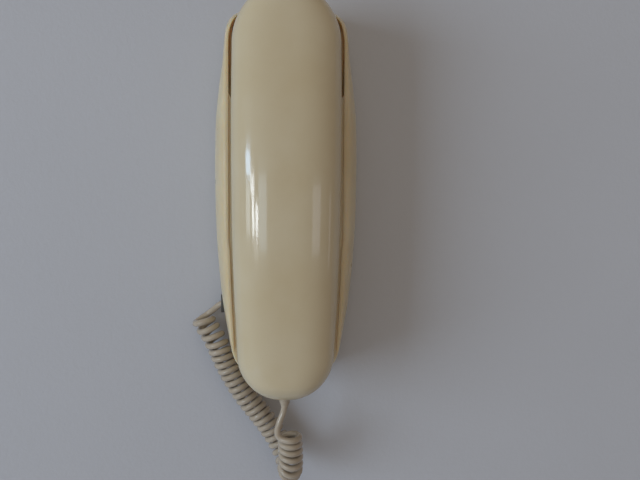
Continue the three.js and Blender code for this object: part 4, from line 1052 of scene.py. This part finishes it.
def cover_piece():
    """The handset's crowned outer cover, with a small radius at the parting line."""
    flat = 2 / COVER_FULLNESS
    rings = []
    for z in stations(HANDSET_END_MM, HANDSET_TOP_ROUND_MM, HANDSET_LOW_ROUND_MM,
                      middle=44, end_steps=30):
        half = max(handset_half_width(z), COVER_LEAST_MM)
        rise = max(cover_rise(z), COVER_LEAST_MM)
        lip = min(COVER_LIP_MM, COVER_LIP_SHARE * half, COVER_LIP_SHARE * rise)
        right = [(half - lip, 0), (half - 0.3 * lip, 0.1 * lip)]
        for i in range(1, COVER_STEPS):
            angle = QUARTER * i / COVER_STEPS
            up = max(rise * math.sin(angle) ** flat, lip * min(1, 0.5 + 0.25 * i))
            right.append((half * math.cos(angle) ** flat, up))
        outline = right + [(0, rise)] + [(-x, up) for x, up in right][::-1]
        rings.append([place(x, PARTING_OUT_MM + up, z) for x, up in outline])
    return finish_mesh(loft(rings, closed=False), "handset_cover_moulding", smooth_angle=50)


def base_body(name, inset):
    """The base's outer form, or its hollow when it is inset by the wall's thickness."""
    shrink = (BASE_END_MM - inset) / BASE_END_MM
    rings = []
    for z in stations(BASE_END_MM, CORNER_LENGTH_MM, CORNER_LENGTH_MM, middle=44, end_steps=18,
                      stop=0.995):
        belly = max(base_half_width(z) - inset, BELLY_LEAST_MM)
        rise = crest_out(z) - inset - BELLY_OUT_MM
        crest = cradle_half_width(z) + CREST_LAND_MM
        crest = max(min(crest, belly - BELLY_PAST_CREST_MM), CREST_LEAST_MM)
        right = []
        for out in BELLY_ROWS_MM:
            undercut = BACK_UNDERCUT_MM * (1 - out / BELLY_OUT_MM) ** 2
            right.append((max(belly - undercut, FOOT_LEAST_MM), out if out else -inset))
        for i in range(CREST_STEPS + 1):
            angle = QUARTER * i / CREST_STEPS
            right.append((crest + (belly - crest) * math.cos(angle),
                          BELLY_OUT_MM + rise * math.sin(angle)))
        rings.append([
            place(x, out, z * shrink * (1 - END_LEAN * (max(out, 0) / CREST_OUT_MM) ** 2))
            for x, out in mirrored(right)
        ])
    return finish_mesh(loft(rings), name)


def cradle_tools(grow):
    """The hollows that the handset lies in, grown by a wall's thickness or not."""
    above = CREST_OUT_MM + TOOL_OVER_MM
    beyond = BASE_END_MM + TOOL_PAST_MM
    end = BASE_END_MM - RIM_MM

    def outline_of(half_width):
        return mirrored([
            (half_width(z) + grow, z * (end + grow) / end)
            for z in stations(end, CRADLE_TOP_ROUND_MM, CRADLE_LOW_ROUND_MM, middle=30,
                              end_steps=22, stop=0.995)
        ])

    outline = outline_of(cradle_half_width)
    ear = []
    for gap, low, floor in ((SIDE_GAP_MM, EAR_WELL_LOW_MM, EAR_WELL_OUT_MM),
                            (CRADLE_GAP_MM, EAR_SHELF_LOW_MM, EAR_SHELF_OUT_MM)):
        wide = HANDSET_WIDTH_MM / 2 + gap + grow
        well = rounded_outline(-wide, wide, low - grow, beyond + WELL_PAST_MM, WELL_CORNER_MM)
        ear.append(slab(well, floor - grow, above))
        combine(ear[-1], slab(outline, 0, above + 1), "INTERSECT")
    half = MOUTH_WELL_HALF_MM + grow
    mouth = rounded_outline(-half, half, MOUTH_WELL_LOW_MM - grow, MOUTH_WELL_TOP_MM + grow,
                            WELL_CORNER_MM)
    half = SCOOP_HALF_MM + grow
    scoops = [rounded_outline(-half, half, z0, z1, SCOOP_CORNER_MM, steps=3) for z0, z1 in (
        (EAR_WELL_TOP_MM - SCOOP_OVERLAP_MM, beyond),
        (-beyond, MOUTH_WELL_LOW_MM + SCOOP_OVERLAP_MM),
    )]
    return [
        slab(outline_of(channel_half_width), CHANNEL_OUT_MM - grow, above),
        slab(outline, LEDGE_OUT_MM - grow, above),
        *ear,
        slab(mouth, MOUTH_WELL_OUT_MM - grow, above),
        *(slab(scoop, END_LIP_OUT_MM - grow, above) for scoop in scoops),
    ]


def base_piece():
    """The base's one-piece cover: outer form, hollow back, cradle, and its openings."""
    hollow = base_body("hollow", SHELL_MM)
    for tool in cradle_tools(SHELL_MM):
        combine(hollow, tool)
    body = base_body("base_cover_moulding", 0)
    combine(body, hollow)
    for tool in cradle_tools(0):
        combine(body, tool)
    socket_x = (SOCKET_PAST_X_MM, SOCKET_DEPTH_MM - base_half_width(JACK_Z_MM))
    for x, out, z in ((socket_x, SOCKET_OUT_MM, SOCKET_Z_MM), *SLOTS_MM):
        outline = [(x[0], z[0]), (x[1], z[0]), (x[1], z[1]), (x[0], z[1])]
        combine(body, slab(outline, *out))
    weld(body, smooth_angle=33)
    return apply_modifier(body, "WEIGHTED_NORMAL", keep_sharp=True)


# ---------------------------------------------------------------- small pieces


def middle_of(name):
    """The middle of a CAD node's box, as its x and z."""
    low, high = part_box(name)
    return (low[0] + high[0]) / 2, (low[2] + high[2]) / 2


def socket_rim():
    """The surround of the cord's socket, which stands a little out of the base's left side."""
    face = -base_half_width(JACK_Z_MM) - RIM_PROUD_MM

    def block(reach, ends, radius):
        """A bar along x with rounded corners, and its ends as (depth from the face, inset)."""
        rings = []
        for depth, inset in ends:
            tall = reach - inset
            wide = tall - RIM_NARROWER_MM
            outline = rounded_outline(JACK_OUT_MM - wide, JACK_OUT_MM + wide, JACK_Z_MM - tall,
                                      JACK_Z_MM + tall, radius, steps=4)
            rings.append([place(face + depth, out, z) for out, z in outline])
        return finish_mesh(loft(rings), "socket_rim")

    rim = block(*RIM_BLOCK_MM)
    combine(rim, block(*RIM_HOLE_MM))
    weld(rim, smooth_angle=40)
    return rim


def boot_piece():
    """The strain relief: a flange inside the handset, a short neck and a ribbed cone."""
    tip = CORD_DIAMETER_MM / 2 + BOOT_TIP_WALL_MM
    neck = -HANDSET_END_MM - BOOT_NECK_MM
    profile = [(radius, above - HANDSET_END_MM) for radius, above in BOOT_HEAD_MM]
    profile.append((BOOT_RADIUS_MM, neck))
    for i in range(1, BOOT_STEPS + 1):
        t = i / BOOT_STEPS
        taper = BOOT_RADIUS_MM + (tip - BOOT_RADIUS_MM) * t**BOOT_CONE_POWER
        groove = BOOT_GROOVE_MM * (0.5 - 0.5 * math.cos(2 * math.pi * BOOT_RIBS * t))
        profile.append((taper - groove, neck + (BOOT_TIP_MM - neck) * t * BOOT_CONE_SHARE))
    profile += [(tip - BOOT_TIP_ROUND_MM, BOOT_TIP_MM), (BOOT_AXIS_MM, BOOT_TIP_MM)]
    rings = [[place(BOOT_X_MM + radius * math.cos(a), BOOT_OUT_MM + radius * math.sin(a), z)
              for a in circle(BOOT_SIDES)] for radius, z in profile]
    return finish_mesh(loft(rings), "strain_relief", smooth_angle=40)


class Growth(Group):
    """A Geometry Nodes group that puts something on each vertex of a mesh."""

    def __init__(self, name, inputs):
        geometry = ("Geometry", "Geometry", None)
        super().__init__("GeometryNodeTree", name,
                         [geometry, *inputs, ("Material", "Material", None)], [geometry])
        self.tree.is_modifier = True

    def bar(self, curve, radius, sides):
        """A solid bar of the given radius along a curve."""
        ring = self.add("GeometryNodeCurvePrimitiveCircle", {"Resolution": sides, "Radius": radius})
        return self.add("GeometryNodeCurveToMesh", {
            "Curve": curve.outputs[0], "Profile Curve": ring.outputs[0],
            "Fill Caps": True}).outputs[0]

    def lifted(self, geometry, z):
        return self.add("GeometryNodeTransform", {
            "Geometry": geometry, "Translation": self.vector(z=z)}).outputs[0]

    def finish(self, instance, **inputs):
        """Puts the instance on each vertex, makes it real and gives it its material."""
        placed = self.add("GeometryNodeInstanceOnPoints", {
            "Points": self.given["Geometry"], "Instance": instance, **inputs})
        real = self.add("GeometryNodeRealizeInstances", {"Geometry": placed.outputs[0]})
        painted = self.add("GeometryNodeSetMaterial", {
            "Geometry": real.outputs[0], "Material": self.given["Material"]})
        self.set(self.end, {"Geometry": painted.outputs[0]})
        return self.tree


def screw_tree():
    """A pan-head screw with a cross recess and a thread."""
    g = Growth("Cross Screws", [
        ("Float", "Head Radius", 0.0028), ("Float", "Head Height", 0.0012),
        ("Float", "Shank Radius", 0.0012), ("Float", "Length", 0.0088),
        ("Float", "Thread Pitch", 0.0011), ("Vector", "Turn", (0, 0, 0))])
    head_radius, head_height = g.given["Head Radius"], g.given["Head Height"]
    shank_radius, length = g.given["Shank Radius"], g.given["Length"]
    # The head is a disc whose upper side falls away towards its edge.
    disc = g.add("GeometryNodeMeshCylinder", {
        "Radius": head_radius, "Depth": head_height, "Vertices": 36, "Side Segments": 3,
        "Fill Segments": 6}, fill_type="TRIANGLE_FAN")
    spot = g.add("GeometryNodeInputPosition").outputs[0]
    x, y, z = g.add("ShaderNodeSeparateXYZ", {"Vector": spot}).outputs
    reach = g.add("ShaderNodeVectorMath", {0: g.vector(x, y)}, operation="LENGTH")
    share = g.math("DIVIDE", reach.outputs["Value"], head_radius)
    fall = g.times(g.math("POWER", share, 3.0), g.times(head_height, -0.55))
    fall = g.times(fall, g.math("GREATER_THAN", z, 0.0))
    head = g.add("GeometryNodeSetPosition", {
        "Geometry": disc.outputs["Mesh"], "Offset": g.vector(z=fall)})
    head = g.lifted(head.outputs[0], g.times(head_height, -0.5))
    # Two bars cut the cross.
    cut = g.add("GeometryNodeMeshBoolean", {"Mesh 1": head}, operation="DIFFERENCE",
                solver="EXACT")
    deep = g.times(head_height, 1.1)
    for long, wide in ((1.15, 0.24), (0.24, 1.15)):
        size = g.vector(g.times(head_radius, long), g.times(head_radius, wide), deep)
        bar = g.add("GeometryNodeMeshCube", {"Size": size})
        g.plug(cut.inputs["Mesh 2"], bar.outputs["Mesh"])
    shank = g.add("GeometryNodeMeshCylinder", {
        "Radius": g.times(shank_radius, 0.82), "Depth": length, "Vertices": 20})
    below = g.math("SUBTRACT", g.times(length, -0.5), head_height)
    # The thread winds down from the head along most of the shank.
    threaded = g.times(length, 0.86)
    spiral = g.add("GeometryNodeCurveSpiral", {
        "Rotations": g.math("DIVIDE", threaded, g.given["Thread Pitch"]),
        "Start Radius": g.times(shank_radius, 0.84), "End Radius": g.times(shank_radius, 0.7),
        "Height": threaded, "Resolution": 18})
    thread = g.add("GeometryNodeTransform", {
        "Geometry": g.bar(spiral, g.times(shank_radius, 0.2), 4), "Rotation": (math.pi, 0, 0)})
    joined = g.add("GeometryNodeJoinGeometry")
    for piece in (cut.outputs[0], g.lifted(shank.outputs["Mesh"], below),
                  g.lifted(thread.outputs[0], g.times(head_height, -1.6))):
        g.plug(joined.inputs[0], piece)
    return g.finish(joined.outputs[0], Rotation=g.given["Turn"])


def contact_tree():
    """A spring wire that bends down into a modular socket."""
    g = Growth("Spring Contacts", [
        ("Float", "Wire Radius", 0.00023), ("Float", "Length", 0.0098), ("Float", "Drop", 0.0042)])
    down, bent = (g.times(g.given["Length"], share) for share in (-1.0, -0.35))
    wire = g.add("GeometryNodeCurveQuadraticBezier", {
        "Resolution": 14, "Start": (0, 0, 0), "Middle": g.vector(z=down),
        "End": g.vector(y=g.given["Drop"], z=bent)})
    return g.finish(g.bar(wire, g.given["Wire Radius"], 10))


def grow_from_points(name, points, tree, values):
    """A plain mesh from a Geometry Nodes tree run over loose vertices."""
    mesh = bpy.data.meshes.new(name)
    mesh.from_pydata([tuple(p) for p in points], [], [])
    inputs = {item.identifier: values[item.name] for item in tree.interface.items_tree
              if item.in_out == "INPUT" and item.name in values}
    obj = apply_modifier(new_object(name, mesh), "NODES", inputs, node_group=tree)
    shade(obj.data)
    if len(obj.data.polygons) == 0:
        raise RuntimeError(f"{name} came out empty")
    return obj


def key_cap(name, cap_size):
    """A key's rounded, dished cap on its flange, in the place of its CAD node."""
    (x0, y0, z0), (x1, y1, z1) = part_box(name)
    cx, cz = (value / MM for value in middle_of(name))
    top, foot = -y1 / MM, -y0 / MM
    flange = ((x1 - x0) / 2 / MM, (z1 - z0) / 2 / MM)
    half = [size / 2 for size in cap_size]

    def ring(sides, radius, out, inset=0.0, share=1.0):
        hx, hz = ((side - inset) * share for side in sides)
        outline = rounded_outline(cx - hx, cx + hx, cz - hz, cz + hz, radius, steps=7)
        return [place(x, out, z) for x, z in outline]

    step = foot - KEY_FLANGE_MM
    rings = [ring(flange, FLANGE_CORNER_MM, foot), ring(flange, FLANGE_CORNER_MM, step),
             ring(half, KEY_CORNER_MM, step), ring(half, KEY_CORNER_MM, top + KEY_ROUND_MM)]
    for i in range(1, KEY_ROUND_STEPS + 1):
        angle = QUARTER * i / KEY_ROUND_STEPS
        inset = KEY_ROUND_MM * (1 - math.cos(angle))
        rings.append(ring(half, KEY_CORNER_MM - inset * KEY_CORNER_SHRINK,
                          top + KEY_ROUND_MM * (1 - math.sin(angle)), inset))
    for share, sink in KEY_DISH:
        rings.append(ring(half, DISH_CORNER_MM * share, top + sink, KEY_ROUND_MM, share))
    return finish_mesh(loft(rings), f"cap_{name}", smooth_angle=45)


def key_legend(name, symbol, size):
    """A key's raised symbol, which faces the wall."""
    words = bpy.data.curves.new(f"ink_{name}", "FONT")
    words.body = symbol
    words.size = size * MM
    words.align_x, words.align_y = "CENTER", "CENTER"
    words.extrude = INK_HALF_DEPTH_MM * MM
    letters = new_object(f"ink_{name}", words)
    x, z = middle_of(name)
    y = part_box(name)[1][1] - INK_OUT_MM * MM
    letters.matrix_world = Matrix(((-1, 0, 0, x), (0, 0, 1, y), (0, 1, 0, z), (0, 0, 0, 1)))
    bpy.context.view_layer.update()
    mesh = evaluated_mesh(letters)
    mesh.transform(letters.matrix_world)
    bpy.data.objects.remove(letters)
    return new_object(f"legend_{name}", mesh)


# ---------------------------------------------------------------- operators


def attach(piece, body, slot, *replaced):
    """Parents a piece to its body's empty and hides the CAD nodes that it stands for. slot is not
    used.
    """
    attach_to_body(piece, body)
    if replaced:
        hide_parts(*replaced)


class TELEPHONE_OT_stage(bpy.types.Operator):
    """Make the camera, the wall, the lamps and the world"""

    bl_idname = "telephone.stage"
    bl_label = "Stage"

    def execute(self, context):
        settings = context.scene.telephone_stage
        context.scene.view_settings.view_transform = "Standard"
        aim_camera(settings.lens)
        backdrop(tuple(settings.wall))
        studio_lights()
        studio_world()
        return {"FINISHED"}


class TELEPHONE_OT_cord(bpy.types.Operator):
    """Make the curly cord between the base and the handset"""

    bl_idname = "telephone.cord"
    bl_label = "Curly Cord"

    def execute(self, context):
        settings = context.scene.telephone_cord
        points, length = cord_path(settings)
        cord = tube("curly_cord", points, settings.diameter / 2, CORD_SIDES)
        dress(cord, cord_material(tuple(context.scene.telephone_finish.cord)))
        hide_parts("cord_lead_base", "cord_curls", "cord_lead_handset")
        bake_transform(cord)
        return {"FINISHED"}


class TELEPHONE_OT_shells(bpy.types.Operator):
    """Make the handset's cover and the base's cover, and finish the moulded shells"""

    bl_idname = "telephone.shells"
    bl_label = "Covers"

    def execute(self, context):
        make_groups()
        finish = context.scene.telephone_finish
        polished = plastic_material("Handset Plastic", tuple(finish.shell), finish.gloss,
                                    yellowing=0.35, scratches=0.5, grain=0.12, coat=0.25)
        cover = dress(cover_piece(), polished)
        apply_modifier(cover, "SOLIDIFY", thickness=SHELL_MM * MM, offset=-1)
        attach(cover, "handset", "handset_shell", "handset_cover")
        # The base's plastic gets painted shade and a painted warm glow in its crevices.
        moulded = plastic_material("Base Plastic", tuple(finish.base), 0.3, yellowing=0.45,
                                   scratches=0.35, grain=0.3, coat=0.1, edge_radius=0.0005,
                                   crevice_shade=0.48, glow=0.6)
        attach(dress(base_piece(), moulded), "base", "base_shell", "base_cover")
        inner = plastic_material("Inner Plastic", tuple(finish.base), 0.32, yellowing=0.4,
                                 scratches=0.3, grain=0.35, coat=0.1, edge_radius=0.0006)
        for name, body, slot in (("handset_face", "handset", "handset_inner_shell"),
                                 ("rear_plate", "base", "base_shell"),
                                 ("hanger_tab", "base", "base_shell"),
                                 ("hook_lever", "hook", "base_shell"),
                                 ("receiver_cap", "handset", "handset_inner_shell")):
            attach(dress(smooth_copy(name, f"{name}_moulding"), inner), body, slot, name)
        return {"FINISHED"}


class TELEPHONE_OT_hardware(bpy.types.Operator):
    """Give the metal, rubber, board and socket pieces their finishes"""

    bl_idname = "telephone.hardware"
    bl_label = "Hardware"

    def execute(self, context):
        make_groups()
        finish = context.scene.telephone_finish
        steel = metal_material("Plated Steel", (0.62, 0.61, 0.58), 0.28)
        brass = metal_material("Sounder Brass", (0.66, 0.47, 0.17), 0.3)
        dark, keys, clear, grey, relief = (
            plastic_material(name, colour, roughness, yellowing, scratches, grain)
            for name, colour, roughness, yellowing, scratches, grain in (
                ("Dark Plastic", (0.03, 0.028, 0.025), 0.45, 0.1, 0.3, 0.5),
                ("Key Plastic", tuple(finish.keys), 0.42, 0.2, 0.3, 0.5),
                ("Plug Plastic", (0.55, 0.54, 0.5), 0.16, 0.1, 0.2, 0.1),
                ("Socket Grey", (0.04, 0.036, 0.03), 0.35, 0.2, 0.3, 0.4),
                ("Strain Relief", tuple(finish.cord), 0.45, 0.2, 0.2, 0.4),
            )
        )
        for material, names in (
            (steel, ("hook_pin", "hook_spring", "receiver_capsule", "mic_capsule")),
            (brass, ("ringer_sounder",)),
            (board_material(), ("line_board", "handset_board")),
            (dark, ("ringer_switch_body", "hook_switch", "handset_jack", "line_jack",
                    "receiver_gasket", "mic_boot", "key_mat", "dial_switch_body")),
            (keys, ("ringer_switch_knob", "dial_switch_knob")),
            (clear, ("cord_plug",)),
        ):
            for name in names:
                dress(NODES[name], material)
        attach(dress(socket_rim(), grey), "base", "black_plastic")
        attach(dress(boot_piece(), relief), "handset", "cord", "cord_boot")
        tree = screw_tree()
        for body, count in (("base", 4), ("handset", 3)):
            nodes = [f"{body}_screw_{i + 1}" for i in range(count)]
            heads = []
            for screw in nodes:
                x, z = middle_of(screw)
                heads.append((x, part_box(screw)[1][1], z))
            screws = grow_from_points(f"{body}_screws", heads, tree,
                                      {"Turn": (-QUARTER, SCREW_TURN, 0), "Material": steel})
            attach(screws, body, "steel", *nodes)
        (_, y, _), (_, _, z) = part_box("line_jack")
        roots = [(middle_of("line_jack")[0] + CONTACT_SPACING_MM * MM * column,
                  y + CONTACT_INSET_MM[0] * MM, z - CONTACT_INSET_MM[1] * MM)
                 for column in CONTACT_COLUMNS]
        wires = grow_from_points("line_contacts", roots, contact_tree(), {"Material": brass})
        attach(wires, "base", "brass_disc")
        return {"FINISHED"}


class TELEPHONE_OT_keys(bpy.types.Operator):
    """Make the keys' caps and their symbols"""

    bl_idname = "telephone.keys"
    bl_label = "Keys"

    def execute(self, context):
        make_groups()
        colour = tuple(context.scene.telephone_finish.keys)
        plastic = plastic_material("Key Cap", colour, 0.42, yellowing=0.2, scratches=0.3, grain=0.5)
        ink = print_material()
        symbols = {f"key_{i}": str(i) for i in range(10)}
        symbols.update({"key_star": "*", "key_hash": "#", "key_redial": "-", "key_flash": "="})
        for name, symbol in symbols.items():
            cap_size, ink_size = KEY_MM
            if name in ("key_redial", "key_flash"):
                cap_size, ink_size = SMALL_KEY_MM
            attach(dress(key_cap(name, cap_size), plastic), name, "key", name)
            attach(dress(key_legend(name, symbol, ink_size), ink), name, "key")
        return {"FINISHED"}


class TELEPHONE_PT_pieces(bpy.types.Panel):
    """Lists the telephone's settings and the operators that make its pieces"""

    bl_label = "Telephone"
    bl_idname = "TELEPHONE_PT_pieces"
    bl_space_type = "VIEW_3D"
    bl_region_type = "UI"
    bl_category = "Telephone"

    def draw(self, context):
        layout = self.layout
        for group in ("telephone_finish", "telephone_cord", "telephone_stage"):
            settings = getattr(context.scene, group)
            box = layout.box()
            for key in settings.__annotations__:
                box.prop(settings, key)
        for operator in OPERATORS:
            layout.operator(operator.bl_idname)


OPERATORS = (TELEPHONE_OT_stage, TELEPHONE_OT_cord, TELEPHONE_OT_shells, TELEPHONE_OT_hardware,
             TELEPHONE_OT_keys)
CLASSES = (TelephoneFinish, TelephoneCord, TelephoneStage, *OPERATORS, TELEPHONE_PT_pieces)


def register():
    for item in CLASSES:
        bpy.utils.register_class(item)
    bpy.types.Scene.telephone_finish = bpy.props.PointerProperty(type=TelephoneFinish)
    bpy.types.Scene.telephone_cord = bpy.props.PointerProperty(type=TelephoneCord)
    bpy.types.Scene.telephone_stage = bpy.props.PointerProperty(type=TelephoneStage)


def unregister():
    del bpy.types.Scene.telephone_stage
    del bpy.types.Scene.telephone_cord
    del bpy.types.Scene.telephone_finish
    for item in reversed(CLASSES):
        bpy.utils.unregister_class(item)


def main():
    register()
    bpy.ops.telephone.stage()
    bpy.ops.telephone.cord()
    bpy.ops.telephone.shells()
    bpy.ops.telephone.hardware()
    bpy.ops.telephone.keys()


if __name__ == "__main__":
    main()
